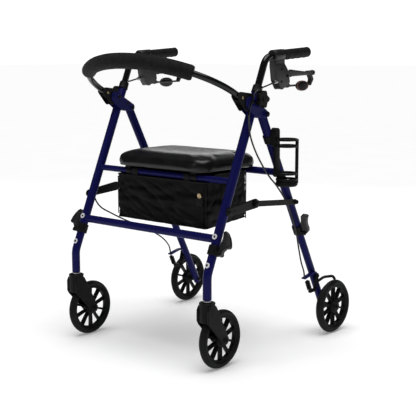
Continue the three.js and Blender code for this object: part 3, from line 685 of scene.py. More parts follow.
def add_area_light(name, place, target, size, power):
    light = bpy.data.lights.new(name, "AREA")
    set_values(light, shape="RECTANGLE", size=size[0], size_y=size[1], energy=power)
    turn = (Vector(target) - Vector(place)).to_track_quat("-Z", "Y").to_euler()
    place_in_scene(name, light, place, turn)


def add_sun():
    """A broad sun, which lights the whole floor evenly."""
    light = bpy.data.lights.new("sky_panel", "SUN")
    set_values(light, energy=SUN_STRENGTH, angle=math.radians(SUN_SPREAD))
    place_in_scene("sky_panel", light, turn=[math.radians(angle) for angle in SUN_TILT])


def add_floor():
    """A pale floor that glows a little, so the walker's shadow on it stays light."""
    half = FLOOR_HALF_WIDTH
    mesh = bpy.data.meshes.new("floor")
    corners = [(-half, -half, 0), (half, -half, 0), (half, half, 0), (-half, half, 0)]
    mesh.from_pydata(corners, [], [(0, 1, 2, 3)])
    floor = place_in_scene("floor", mesh)
    made = Nodes("studio_floor", Roughness=1.0, Specular_IOR_Level=0.0)
    set_sockets(made.shader, {"Emission_Strength": FLOOR_GLOW, "Emission_Color": WHITE_LIGHT})
    made.shades(3, 2, (0.90, 0.90, 0.90), (0.92, 0.92, 0.92))
    floor.data.materials.append(made.material)


def set_world():
    """Dim surroundings for the light on the walker; the camera sees them as white."""
    world = bpy.data.worlds.new("studio")
    scene.world = world
    world.use_nodes = True
    tree = world.node_tree
    seen = tree.nodes.new("ShaderNodeLightPath").outputs["Is Camera Ray"]
    strength = tree.nodes.new("ShaderNodeMapRange")
    set_sockets(strength, {"To_Min": SKY_LIGHT, "To_Max": SKY_SEEN})
    tree.links.new(seen, strength.inputs["Value"])
    background = tree.nodes["Background"]
    set_sockets(background, {"Color": WHITE_LIGHT})
    tree.links.new(strength.outputs["Result"], background.inputs["Strength"])


def build_studio():
    set_camera()
    add_floor()
    set_world()
    add_sun()
    add_area_light("overhead", (0.3, -0.4, 2.4), (0, 0, 0.4), (0.5, 0.4), 3)
    add_area_light("front", (-0.9, -3.2, 2.4), (0, 0, 0.6), (0.5, 0.9), 6)
    add_area_light("back", (-1.6, 2.8, 1.7), (0, 0, 0.6), (2.4, 0.7), 11)
    scene.view_settings.view_transform = "Standard"


# ---- frame tubes ----
def build_crossbar(name, node, y, z, radius, body):
    reach = LEG_X - LEG_RADIUS + 2
    shapes = [tube([(-reach, y, z), (reach, y, z)], radius, 40)]
    for sign in (1, -1):
        shapes.append(weld_ring((sign * (LEG_X - LEG_RADIUS + 0.4), y, z), radius))
    piece(name, shapes, BLUE, body, node)


def build_button(side, ring_name, name, z, radius, profile, body):
    """A white ring with a dark button in it, on the front face of a leg."""
    rim = [(3.2, 0), (8.2, 0), (8.2, 1.9), (7.4, 2.6), (4.2, 2.6), (3.2, 1.8)]
    base = front_leg_point(z, radius - 1.2)
    ahead = Vector(front_leg_point(z, radius)) - Vector(base)
    piece(ring_name, [lathe(rim, base, ahead, 40, True)], WHITE, body, side=side)
    piece(name, [lathe(profile, base, ahead, 32)], DARK_STEEL, body, side=side)


def build_front_leg(side):
    low, high = (front_leg_point(z) for z in FRONT_LEG_ENDS)
    leg = rounded_rod(low, high, PAINTED_LEG_RADIUS, 0.8, 48)
    sided(side, "front_tube", [leg], BLUE, "front_frame", f"front_leg_{side}")
    cap = [(3.4, 0), (3.4, 2.0), (2.4, 2.8), (1.0, 3.0)]
    names = (f"leg_cap_ring_{side}", f"leg_cap_{side}")
    build_button(side, *names, LEG_CAP_Z, PAINTED_LEG_RADIUS, cap, "front_frame")


def build_front_frame():
    bars = (("upper", UPPER_BAR_Z, UPPER_BAR_RADIUS), ("lower", LOWER_BAR_Z, LOWER_BAR_RADIUS))
    for name, z, radius in bars:
        y = front_leg_point(z)[1]
        build_crossbar(f"{name}_bar", f"{name}_crossbar", y, z, radius, "front_frame")
    for side in SIDES:
        build_front_leg(side)
        build_bracket(side)
        build_sleeve(side)


def build_bracket(side):
    moulded(side, "bracket", f"top_bracket_{side}", BLUE, "front_frame", 1.1, 4, 0.35)
    half = LEG_RADIUS + 4.5
    face, inner_face = LEG_X + half, LEG_X - half
    bolts = [
        side_bolt(*PIVOT, face + 8, 1, 6, 4),
        side_bolt(*SOCKET_BOLT, face, 1, 4, 2.5),
        side_bolt(*PIVOT, inner_face - 4, -1, 5, 4),
        side_bolt(*SOCKET_BOLT, inner_face - 3, -1, 4.4, 3),
        side_bolt(*BRACKET_RIVET, inner_face, -1, 3.4, 1.6),
    ]
    sided(side, "bracket_bolts", bolts, DARK_STEEL, "front_frame")


def build_sleeve(side):
    """The plastic guide in the leg's top, with a rolled lip."""
    base, top = (Vector(front_leg_point(z)) for z in SLEEVE_ENDS)
    along = top - base
    length = along.length
    lip = [(15.6, 0), (16, 0.8), (16, 4), (15.4, 5)]
    upper = [(15.0, length - 4), (14.4, length - 1), (13, length), (11.6, length), (11.6, 0)]
    shape = lathe(lip + upper, base, along, 48, True)
    sided(side, "sleeve", [shape], PLASTIC, "front_frame", f"leg_sleeve_{side}")


def build_rear_frame():
    bar_y = rear_leg_point(REAR_BAR_Z)[1]
    build_crossbar("rear_bar", "rear_crossbar", bar_y, REAR_BAR_Z, REAR_BAR_RADIUS, "rear_frame")
    low, high = (rear_leg_point(z) for z in REAR_LEG_ENDS)
    leg = rounded_rod(low, high, PAINTED_LEG_RADIUS, 0.8, 48)
    for side in SIDES:
        sided(side, "rear_tube", [leg], BLUE, "rear_frame", f"rear_leg_{side}")


# ---- wheels: each profile lists (radius, distance from the wheel's middle plane) ----
def both_faces(profile):
    """A profile of one face of a wheel's part, joined to its mirror image."""
    return [(radius, -out) for radius, out in profile] + profile[::-1]


def build_tyre(side, end, centre):
    half = TYRE_HALF_WIDTH
    shoulder, tread = 9, []
    for degrees in range(-80, 90, 10):
        angle = math.radians(degrees)
        radius = WHEEL_RADIUS - shoulder + shoulder * math.cos(angle)
        tread.append((radius, (half - 5) * math.sin(angle) * 1.02))
    groove = [(WHEEL_RADIUS - 10, half), (WHEEL_RADIUS - 13, half - 1.2), (RIM_EDGE + 1.2, half - 0.8)]
    wall = [(radius, -out) for radius, out in reversed(groove)]
    seat = [(RIM_EDGE + 0.4, half - 2), (RIM_EDGE + 0.4, 2 - half)]
    shape = lathe(wall + tread + groove + seat, centre, (1, 0, 0), 96, True)
    sided(side, f"{end}_tread", [shape], TYRE, f"{end}_wheel_{side}", f"{end}_tyre_{side}")


def build_rim(side, end, centre):
    """Ring, hub and ten flat spokes with a rail along both edges of each."""
    axis, half = (1, 0, 0), HUB_HALF_WIDTH
    ring = both_faces([(63, 6.6), (64, 7.6), (67, 8), (RIM_EDGE - 0.6, 12), (RIM_EDGE, 11.4)])
    hub = both_faces([(5.3, half), (14, half), (15.4, half - 1.2), (18.5, 9), (22, 8)])
    shapes = [lathe(ring, centre, axis, 80, True), lathe(hub, centre, axis, 48, True)]
    count = 10
    inner, outer = 19, 65
    for i in range(count):
        angle = 2 * math.pi * (i + 0.5) / count
        out = (0, math.cos(angle), math.sin(angle))
        across = (0, -math.sin(angle), math.cos(angle))
        web = [(inner, -2.4), (outer, -3.2), (outer, 3.2), (inner, 2.4)]
        shapes.append(plate(web, -4, 4, centre, out, across))
        for edge in (-1, 1):
            rail = [(inner, 1.3), (outer, 2.0), (outer, 3.6), (inner, 2.6)]
            rail = [(along, edge * aside) for along, aside in rail]
            shapes.append(plate(rail, -7, 7, centre, out, across))
    body = f"{end}_wheel_{side}"
    sided(side, f"{end}_wheel_disc", shapes, PLASTIC, body, f"{end}_rim_{side}", bevel=0.5)


def build_wheels():
    for side in SIDES:
        for end, x, y in (("front", LEG_X, CASTER_AXLE_Y), ("rear", REAR_WHEEL_X, REAR_AXLE_Y)):
            build_tyre(side, end, (x, y, WHEEL_RADIUS))
            build_rim(side, end, (x, y, WHEEL_RADIUS))


# ---- front lower legs and casters ----
def build_front_lower_leg(side):
    body = f"front_lower_leg_{side}"
    stem = (LEG_X, STEM_Y, STEM_TOP)
    line = fillet([front_leg_point(FRONT_LOWER_LEG_TOP), front_leg_point(BEND_Z), stem], 13)
    leg = tube(line, PAINTED_FRONT_LOWER_RADIUS, 44)
    sided(side, "front_extension", [leg], BLUE, body, body)
    button = [(3.4, 0), (3.4, 2.4), (2.8, 3.2), (1.2, 3.5)]
    names = (f"{body}_button_ring", f"{body}_button")
    build_button(side, *names, LEG_BUTTON_Z, PAINTED_FRONT_LOWER_RADIUS, button, body)


def build_caster(side):
    body = f"caster_{side}"
    moulded(side, "fork", f"caster_fork_{side}", PLASTIC, body, 1.3, 9, 0.4)
    up = (0, 0, 1)
    cap = [(17.2, 0), (23.4, 0), (23.8, 1), (23.8, 4), (22.6, 5.4), (17.2, 5.4)]
    spot = (LEG_X, STEM_Y, STEM_CAP_Z)
    sided(side, "fork_cap", [lathe(cap, spot, up, 56, True)], PLASTIC, body)
    washer = [(7, 0), (14.4, 0), (15, 0.8), (15, 2.4), (12.5, 3), (12.5, 5.4), (7, 5.4)]
    spot = (LEG_X, STEM_Y, STEM_CAP_Z + 4.6)
    sided(side, "stem_washer", [lathe(washer, spot, up, 48, True)], STEEL, body)
    axle = (CASTER_AXLE_Y, WHEEL_RADIUS)
    heads = [side_bolt(*axle, LEG_X + s * CASTER_AXLE_REACH, s, 5.5, 4) for s in (1, -1)]
    sided(side, "axle_heads", heads, DARK_STEEL, body)


# Each paddle's outline lists (out from the leg's line, up along the leg).
FRONT_PADDLE = [
    (20, -14), (32, -12), (36, 2), (43, 10), (54, 12), (58, 17), (54, 30), (47, 43),
    (37, 55), (28, 61), (22, 57), (24, 38), (21, 18), (19.5, 0),
]
REAR_PADDLE = [
    (20, -14), (31, -12), (41, -3), (44, 8), (43, 22), (46, 35), (51, 47), (56, 56),
    (53, 61), (35, 61), (30, 56), (28, 44), (24, 34), (21, 18), (19.5, 0),
]


def build_cam_lever(side, end, leg_point, z, outline):
    """A flat paddle with a curved edge and ribs for the fingers."""
    node = f"{end}_clamp_lever_{side}"
    middle = Vector(leg_point(z))
    up = (Vector(leg_point(z + 1)) - middle).normalized()
    out = Vector((1, 0, 0))
    ahead = out.cross(up)
    shapes = [plate(outline, -6, 6, middle, out, up, ahead)]
    for i in range(5):
        height = 8 + 9 * i
        rib = [(27, height), (42 - i, height + 5), (42 - i, height + 7.5), (27, height + 2.5)]
        shapes.append(plate(rib, -7, 7, middle, out, up, ahead))
    sided(side, f"{end}_cam_lever", shapes, SATIN_PAINTED_LIGHT, node, node, bevel=1.2)


def build_clamps():
    ends = (
        ("front", front_leg_point, FRONT_COLLAR_Z, FRONT_PADDLE),
        ("rear", rear_leg_point, REAR_COLLAR_Z, REAR_PADDLE),
    )
    for side in SIDES:
        for end, leg_point, z, outline in ends:
            node = f"{end}_clamp_collar_{side}"
            moulded(side, f"{end}_collar", node, PLASTIC, f"{end}_frame", 1.0, 6, 0.4)
            build_cam_lever(side, end, leg_point, z, outline)


# ---- rear lower legs and brakes ----
def build_rear_lower_leg(side):
    body = f"rear_lower_leg_{side}"
    ends = (rear_leg_point(REAR_LOWER_LEG_TOP), rear_leg_point(WHEEL_RADIUS - 11))
    leg = rounded_rod(*ends, PAINTED_REAR_LOWER_RADIUS, 0.8, 44)
    tab = [(157, 196), (204, 206.5), (222, 206.5), (222, 210.7), (203, 210.7), (156, 200)]
    shapes = [leg, plate(tab, LEG_X + 6, LEG_X + 22)]
    sided(side, "rear_extension", shapes, BLUE, body, body, bevel=0.6)
    hub_end = REAR_WHEEL_X + HUB_HALF_WIDTH
    spot = (REAR_AXLE_Y, WHEEL_RADIUS)
    pivot = rear_leg_point(BRAKE_PIVOT_Z)[1:]
    axle = [
        rounded_rod((LEG_X - 16, *spot), (hub_end + 6, *spot), 4.8),
        rounded_rod((LEG_X + 8, *spot), (REAR_WHEEL_X - HUB_HALF_WIDTH - 0.6, *spot), 8.8),
        side_bolt(*spot, hub_end + 0.8, 1, 6, 6),
        side_bolt(*spot, LEG_X - 12, -1, 5.5, 5),
        rounded_rod((LEG_X + 4, *pivot), (LEG_X + 24, *pivot), 3.9),
    ]
    sided(side, "rear_axle", axle, DARK_STEEL, body)


def build_brake(side):
    """A bent lever on the leg: its bar lies over the tyre and its tail hangs on the cable's spring."""
    body = f"brake_arm_{side}"
    pivot_y = rear_leg_point(BRAKE_PIVOT_Z)[1]
    near = LEG_X + PAINTED_REAR_LOWER_RADIUS + 1.6
    far = REAR_WHEEL_X + TYRE_HALF_WIDTH + 1
    arm = hull_outline([(pivot_y, BRAKE_PIVOT_Z, 8.5), (216, 153, 5.5)])
    link = hull_outline([(216, 152, 5), (190, 151, 5.5)])
    x = near + 5
    bar = fillet([(x, 226, 176), (x + 12, 248, 190), (far - 4, 266, 194), (far, 273, 182)], 6, 5)
    shapes = [plate(arm, near, near + 6), plate(link, near, near + 7), tube(bar, 4.6, 24)]
    shapes.append(rounded_rod((x, 189, 152), (x, 170, 191), 3.4))
    sided(side, "brake_shoe", shapes, DARK_STEEL, body, body, bevel=0.9)
    coil = spring_coil((x, 186, 158), (x, 171, 188), 6.6, 1.5, 8)
    sided(side, "brake_spring", [coil], DARK_STEEL, body)


# ---- handles ----
def grip_point(y):
    return (LEG_X, y, HANDLE_CORNER[1] + GRIP_RISE * (y - HANDLE_CORNER[0]))


def build_handle(side):
    body = f"handle_{side}"
    corner = (LEG_X, *HANDLE_CORNER)
    line = fillet([front_leg_point(HANDLE_FOOT_Z), corner, grip_point(HANDLE_END_Y)], 26, 14)
    bar = tube(line, HANDLE_RADIUS, 44)
    sided(side, "handle_bar", [bar], GLOSS, body, f"handle_tube_{side}")
    build_grip(side)
    build_housing(side)
    face = LEG_X + HOUSING_HALF_WIDTH - 0.4
    places = ((30, 862, 3.2, 2), (29, 826, 3.2, 2), (58, 842, 4, 2.4))
    screws = [side_bolt(y, z, face, 1, radius, height) for y, z, radius, height in places]
    sided(side, "housing_screws", screws, DARK_STEEL, body)
    barrel = [(5.2, 0), (6.2, 0.6), (6.2, 5), (4.6, 5.6), (4.6, 9), (3.4, 10)]
    spot = (LEG_X + 8.2, 8, 826)
    away = (3.4, -24, -3)
    sided(side, "cable_adjuster", [lathe(barrel, spot, away, 32)], STEEL, body)


def build_housing(side):
    """Two cheeks round the lever's slot, with a neck and a collar that clamp the handlebar."""
    cheek = hull_outline([(7, 874, 7), (14, 832, 7), (32, 813, 11), (62, 826, 9), (58, 850, 9), (40, 872, 8)])
    core = hull_outline([(7, 872, 7), (14, 832, 7), (31, 813, 10), (34, 872, 8)])
    neck = hull_outline([(7, 870, 7), (8, 896, 9), (34, 898, 9), (38, 870, 8)])
    slot, half = 7.6, HOUSING_HALF_WIDTH
    shapes = [
        plate(cheek, LEG_X - half, LEG_X - slot),
        plate(cheek, LEG_X + slot, LEG_X + half),
        plate(core, LEG_X - slot - 0.4, LEG_X + slot + 0.4),
        plate(neck, LEG_X - half + 0.3, LEG_X + half - 0.3),
        rounded_rod(grip_point(-4), grip_point(43.5), 17.8, 1.5, 48),
    ]
    node = f"brake_housing_{side}"
    sided(side, "lever_housing", shapes, SATIN_PAINTED_LIGHT, f"handle_{side}", node, bevel=1.8)


def build_grip(side):
    """A rubber grip: a flange, four finger swells on its underside and a rounded end."""
    start = Vector(grip_point(GRIP_START_Y))
    along = (Vector(grip_point(GRIP_START_Y + 1)) - start).normalized()
    rings = [(11.6, 0), (17.2, 0), (17.5, 1.2), (17.4, 3.4), (15.6, 5.4), (15.2, 8)]
    count = 44
    rings += [(15.6, 10 + (GRIP_LENGTH - 18) * i / (count - 1)) for i in range(count)]
    end = ((15.9, 5), (15.6, 3), (14.6, 2), (8, 1.6))
    rings += [(radius, GRIP_LENGTH - short) for radius, short in end]

    def swell(i, angle):
        distance = rings[i][1]
        if not 9 < distance < GRIP_LENGTH - 8:
            return 1
        under = max(0, math.sin(angle))
        fingers = math.sin(math.pi * (distance - 10) / 29) ** 2
        ribs = 0.006 * math.cos(24 * angle)
        return 0.985 + 0.075 * under * fingers + ribs

    line = [start + along * distance for radius, distance in rings]
    shape = tube(line, [radius for radius, distance in rings], 96, swell)
    sided(side, "hand_grip", [shape], GRIP, f"handle_{side}", f"grip_{side}", sharp=40)


def oval(centre, scale):
    steps = 40
    half_length, half_height = 31 * scale, 16 * scale
    angles = [2 * math.pi * i / steps for i in range(steps)]
    y, z = centre
    return [(y + half_length * math.cos(a), z + half_height * math.sin(a)) for a in angles]


def build_brake_lever(side):
    """The moulded loop, a bar with finger scallops, an oval plate in a red-brown rim, and a ball end."""
    body = f"brake_lever_{side}"
    moulded(side, "lever_loop", body, SATIN_PAINTED_LIGHT, body, 0.9, 6, 0.4)
    scallops = [(88, 861), (130, 857), (176, 853.5), (176, 846.5)]
    for i in range(16):
        y = 170 - 5 * i
        scallops.append((y, 843.6 - 0.035 * (170 - y) - 1.6 * math.sin(math.pi * i / 3) ** 2))
    scallops.append((86, 838))
    bar = plate(scallops, LEG_X - 6, LEG_X + 6)
    sided(side, "lever_bar", [bar], SATIN_PAINTED_LIGHT, body, bevel=1.4)
    face = LEG_X + 10.6
    rim = plate(oval(LEVER_PLATE, 0.98), face, face + 1.6)
    sided(side, "lever_plate_rim", [rim], RUSSET, body, bevel=0.5)
    badge = plate(oval(LEVER_PLATE, 0.84), face + 1, face + 2.4)
    sided(side, "lever_plate", [badge], DARK_STEEL, body, bevel=0.5)
    radius = 8.6
    angles = [math.pi * i / 12 for i in range(13)]
    ball = [(radius * math.sin(angle) + 0.01, -radius * math.cos(angle)) for angle in angles]
    shape = lathe(ball, (LEG_X, *LEVER_BALL), (1, 0, 0), 32)
    sided(side, "lever_ball", [shape], PLASTIC, body)


def build_knob(side):
    body = f"height_knob_{side}"
    moulded(side, "star_knob", body, PLASTIC, body, 0.9, 6, 0.4)
    base = LEG_X + LEG_RADIUS + 4.9
    cap = [(6.4, 17), (7.4, 18.4), (7.4, 21), (6, 23.4), (2.5, 24.4)]
    sided(side, "knob_cap", [lathe(cap, (base, *KNOB), (1, 0, 0), 32)], PLASTIC, body)


# ---- backrest ----
def bow_point(angle):
    forward = BOW_REACH * math.cos(angle)
    return Vector((LEG_X * math.sin(angle), BOW_ROOT[0] - forward, BOW_ROOT[1] + BOW_RISE * forward))


def bow_line():
    count = 48
    hoop = [bow_point(-math.pi / 2 + math.pi * i / count) for i in range(count + 1)]
    return smooth_line([(-LEG_X, *BOW_HINGE), *hoop, (LEG_X, *BOW_HINGE)], 2)


def build_backrest():
    ends = [rounded_rod((s * LEG_X - 8, *BOW_HINGE), (s * LEG_X + 8, *BOW_HINGE), 9.5) for s in (-1, 1)]
    piece("bow_tube", [tube(bow_line(), BOW_RADIUS, 40), *ends], GLOSS, "backrest", "backrest_bow")
    build_pad()
    wall = BOW_RADIUS + 3.3
    for side in SIDES:
        moulded(side, "bow_socket", f"backrest_socket_{side}", PLASTIC, "front_frame", 1.1, 5, 0.4)
        rivets = [side_bolt(*SOCKET_RIVET, LEG_X + s * wall, s, 2.8, 1.4) for s in (1, -1)]
        sided(side, "socket_rivets", rivets, BRASS, "front_frame")


def build_pad():
    """The foam sleeve: a little fuller in the middle, pressed in at its two ends."""
    limit = math.asin(PAD_HALF_WIDTH / LEG_X)
    count = 90
    line, radii = [], []
    for i in range(count + 1):
        t = i / count
        line.append(bow_point(-limit + 2 * limit * t))
        end = min(t, 1 - t) * count
        roll = 1 - 0.10 * max(0, 1 - end / 1.6) ** 2
        radii.append((PAD_RADIUS - 0.5 + 0.9 * math.sin(math.pi * t)) * roll)

    def dents(i, angle):
        place = line[i] * 0.02
        return 1 + 0.012 * noise.noise(Vector((place.x, math.cos(angle), math.sin(angle))))

    sleeve = tube(line, radii, 56, dents)
    pad = piece("backrest_foam", [sleeve], FOAM, "backrest", "backrest_pad", sharp=60)
    bore = BOW_RADIUS + 0.3
    lip = [(bore, 0), (19.2, 0), (19.6, 0.8), (18.6, 1.8), (bore, 1.6)]
    for end, (place, neighbour) in enumerate(((line[0], line[1]), (line[-1], line[-2]))):
        piece(f"pad_end_{end}", [lathe(lip, place, place - neighbour, 48, True)], PLASTIC, "backrest")


# ---- seat ----
def inflate(obj, held, cap, pressure):
    """Swells a closed mesh as stuffing does. The held points stay; all move less than cap metres."""
    obj.vertex_groups.new(name="held").add(held, 1.0, "REPLACE")
    start = [v.co.copy() for v in obj.data.vertices]
    cloth = obj.modifiers.new("stuffing", "CLOTH")
    set_values(cloth.settings, quality=5, mass=0.3, bending_stiffness=2.0, vertex_group_mass="held")
    set_values(cloth.settings, use_pressure=True, uniform_pressure_force=pressure)
    cloth.settings.effector_weights.gravity = 0
    frames = 20
    set_values(cloth.point_cache, frame_start=1, frame_end=frames)
    for step in range(1, frames + 1):
        scene.frame_set(step)
    swollen = obj.evaluated_get(bpy.context.evaluated_depsgraph_get()).to_mesh()
    moved = [v.co.copy() for v in swollen.vertices]
    obj.modifiers.clear()
    scene.frame_set(1)
    for vertex, before, after in zip(obj.data.vertices, start, moved):
        shift = after - before
        vertex.co = before + shift * (cap / (cap + shift.length))


def cushion_shape():
    """Rounded rectangles from the pad's rolled lower edge up to its crown, as one closed solid."""
    profile = [
        (560, 9), (562, 5), (567, 3.2), (577, 2.6), (586, 3.4), (593, 6.5),
        (598, 11), (602.5, 20), (606, 36), (609, 62), (610.5, 100),
    ]
    vertices = []
    for z, inset in profile:
        front, back = SEAT["front"] + inset, SEAT["back"] - inset
        corner = max(SEAT["corner"] - inset * 0.5, 18)
        outline = rounded_rectangle(SEAT["half_width"] - inset, front, back, corner)
        vertices += [(x, y, z) for x, y in outline]
    return vertices, ring_faces(len(profile), len(outline))


def build_cushion():
    obj = mesh_object("seat_pad", [cushion_shape()])
    modify(obj, "REMESH", mode="VOXEL", voxel_size=5.0 * MM)
    modify(obj, "SMOOTH", iterations=3)
    apply_modifiers(obj)
    floor_z = (BOARD["top"] + 3) * MM
    margin = 6 * MM
    held = [v.index for v in obj.data.vertices if v.co.z < floor_z - margin]
    inflate(obj, held, 5 * MM, 4.0)
    modify(obj, "SMOOTH", iterations=5)
    apply_modifiers(obj)
    low = design((-BOARD["half_width"], BOARD["front"], 0))
    high = design((BOARD["half_width"], BOARD["back"], 0))
    for vertex in obj.data.vertices:
        x, y, z = vertex.co
        if low.x < x < high.x and low.y < y < high.y and z < floor_z + margin:
            vertex.co.z = max(z, (BOARD["top"] + 0.5) * MM)
    modify(obj, "SUBSURF", levels=1, render_levels=1)
    apply_modifiers(obj)
    shade(obj, 60)
    attach(obj, VINYL, "seat", "seat_cushion")


def build_board():
    outline = rounded_rectangle(BOARD["half_width"], BOARD["front"], BOARD["back"], BOARD["corner"])
    board = plate(outline, BOARD["bottom"], BOARD["top"], u=(1, 0, 0), v=(0, 1, 0), w=(0, 0, 1))
    piece("seat_base", [board], PAINTED_BOARD, "seat", "seat_board", bevel=1.5)
    bar_y = front_leg_point(UPPER_BAR_Z)[1]
    outer, inner = bar_loop(bar_y, UPPER_BAR_Z, 11.6, -230, 280, 24, 0.86)
    low, high = STRAP_X - 11, STRAP_X + 11
    strap = plate(outer + inner, low, high)
    foot = block(low, high, bar_y - 11, bar_y + 26, BOARD["bottom"] - 6, BOARD["bottom"] - 0.2)
    for side in SIDES:
        sided(side, "seat_hinge", [strap, foot], PLASTIC, "seat", bevel=0.6)


# ---- bag ----
def bag_outline():
    """The bag seen from above, in short steps."""
    outline = rounded_rectangle(BAG["half_width"], BAG["front"], BAG["back"], 9, 5)
    dense = []
    for (ax, ay), (bx, by) in zip(outline, outline[1:] + outline[:1]):
        count = max(1, round(math.hypot(bx - ax, by - ay) / 6))
        dense += [(ax + (bx - ax) * i / count, ay + (by - ay) * i / count) for i in range(count)]
    return dense


def bag_ring(level):
    """The bag's outline at a level from 0 at its bottom edge to 1 at its rim."""
    sag = math.sin(math.pi * min(1, level * 1.1))
    depth = BAG["back"] - BAG["front"]
    middle_y = (BAG["front"] + BAG["back"]) / 2
    ring = []
    for x, y in bag_outline():
        rise = 14 * (y - BAG["front"]) / depth
        past_bar = min(1, max(0, (y - BAG["front"] - 27) / 12))
        top = BAG["front_top"] + (BAG["top"] - BAG["front_top"]) * past_bar
        z = BAG["bottom"] + rise * (1 - level) + (top - BAG["bottom"]) * level
        across = abs(x) / BAG["half_width"]
        deep = abs(y - middle_y) / depth * 2
        full = 3.0 * sag
        if deep > 0.97:
            y += math.copysign(full * (1 - across**3), y - middle_y)
        if across > 0.97:
            x += math.copysign(full * (1 - deep**3), x)
        crease = noise.noise(Vector((x * 0.013 + z * 0.02, y * 0.02, z * 0.035 - x * 0.012)))
        fold = abs(noise.noise(Vector((x * 0.015 + z * 0.03, y * 0.03, z * 0.012 + 7))))
        push = 3.6 * crease - 2.0 * math.exp(-((fold / 0.09) ** 2))
        normal = Vector((x / BAG["half_width"], (y - middle_y) / 97, 0)).normalized()
        ring.append(Vector((x, y, z)) + normal * push * min(1, 4 * (1 - level)))
    return ring


def bag_shell(rings):
    """The walls and the sagging floor, as cloth of one thickness that is open at the top."""
    base = rings[0]
    centre = sum(base, Vector()) / len(base)
    floor_rings = []
    for step in range(1, 9):
        share = 1 - step / 8.5
        sag = 5 * math.sin(math.pi / 2 * min(1, step / 5))
        floor_rings.append([centre.lerp(p, share) - Vector((0, 0, sag)) for p in base])
    rows = floor_rings[::-1] + rings
    vertices = [p for row in rows for p in row]
    obj = mesh_object("bag_shell", [(vertices, ring_faces(len(rows), len(base))[:-1])])
    modify(obj, "SOLIDIFY", thickness=1.4 * MM, offset=-1)
    apply_modifiers(obj)
    shade(obj, 80)
    return attach(obj, NYLON, "front_frame", "bag")


def bag_edging(rings):
    """Bound edges: the rim, the hem and the four upright corners."""
    shapes = []
    for ring, lift, radius in ((rings[-1], 0.5, 2.2), (rings[0], -0.5, 1.7)):
        line = [p + Vector((0, 0, lift)) for p in ring]
        shapes.append(tube([*line, line[0], line[1]], radius, 10))
    for x in (1.5 - BAG["half_width"], BAG["half_width"] - 1.5):
        for y, top in ((BAG["front"] + 2, BAG["front_top"]), (BAG["back"] - 2, BAG["top"])):
            corner = [(x, y, z) for z in range(BAG["bottom"] + 8, top, 12)]
            shapes.append(tube(corner, 1.7, 10))
    return piece("bag_edging", shapes, TAPE, "front_frame")


def bag_loops():
    """Tapes over the upper crossbar in front and over the rear crossbar behind."""
    bar_y = front_leg_point(UPPER_BAR_Z)[1]
    foot_z = 520
    outer, inner = bar_loop(bar_y, UPPER_BAR_Z, 11.0, 200, -220, 20, 0.9)
    outer = [(BAG["front"] + 1, foot_z), *outer, (bar_y + 12, foot_z)]
    inner = [(bar_y + 10.6, foot_z), *inner, (BAG["front"] + 2.2, foot_z)]
    shapes = [plate(outer + inner, x - 14, x + 14) for x in (-109, 109)]
    ribbon = [(BAG["back"] - 2, 546), (30, 550), (30, 551.4), (BAG["back"] - 2, 547.4)]
    shapes += [plate(ribbon, x - 12, x + 12) for x in (-120, 120)]
    return piece("bag_loops", shapes, TAPE, "front_frame", bevel=0.3)


def bag_fittings():
    """A brass snap, an eyelet and a pull tab on the front face."""
    front = BAG["front"] - 2.6
    ahead = (0, -1, 0)
    snap = [(8.2, 0), (8.2, 1.2), (6.8, 2.2), (5.4, 1.6), (3, 2.0), (1, 2.2)]
    button = lathe(snap, (163, front, 493), ahead, 32)
    eyelet = [(3, 0), (5.6, 0), (5.6, 1.2), (4.2, 1.8), (3, 1)]
    ring = lathe(eyelet, (-167, front, 500), ahead, 32, True)
    tab = block(150, 176, front - 1, BAG["front"] - 0.2, 462, 484)
    return [
        piece("bag_snap", [button], BRASS, "front_frame"),
        piece("bag_eyelet", [ring], DARK_STEEL, "front_frame"),
        piece("bag_tab", [tab], TAPE, "front_frame", bevel=0.5),
    ]


def build_bag():
    levels = 34
    rings = [bag_ring(i / levels) for i in range(levels + 1)]
    for part in (bag_shell(rings), bag_edging(rings), bag_loops(), *bag_fittings()):
        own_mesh(part)


# ---- side braces and cup holder ----
def build_braces(side):
    front, rear = f"front_brace_{side}", f"rear_brace_{side}"
    moulded(side, "brace_link_front", front, DARK_STEEL, front, 1.0, 4, 0.4)
    moulded(side, "brace_link_rear", rear, DARK_STEEL, rear, 1.0, 4, 0.4)
    y, z = BRACE_FRONT
    heads = [
        side_bolt(y, z, BRACE_X + 8.6, 1, 4.6, 2.6),
        side_bolt(y + 26, z + 2, BRACE_X + 4.9, 1, 2.6, 1.6),
    ]
    sided(side, "brace_bolt_front", heads, DARK_STEEL, front)
    nuts = [
        side_bolt(*BRACE_REAR, BRACE_X + 16, 1, 5, 4),
        side_bolt(*BRACE_MIDDLE, BRACE_X + 9, 1, 9, 5),
    ]
    sided(side, "brace_nut_rear", nuts, DARK_STEEL, rear)


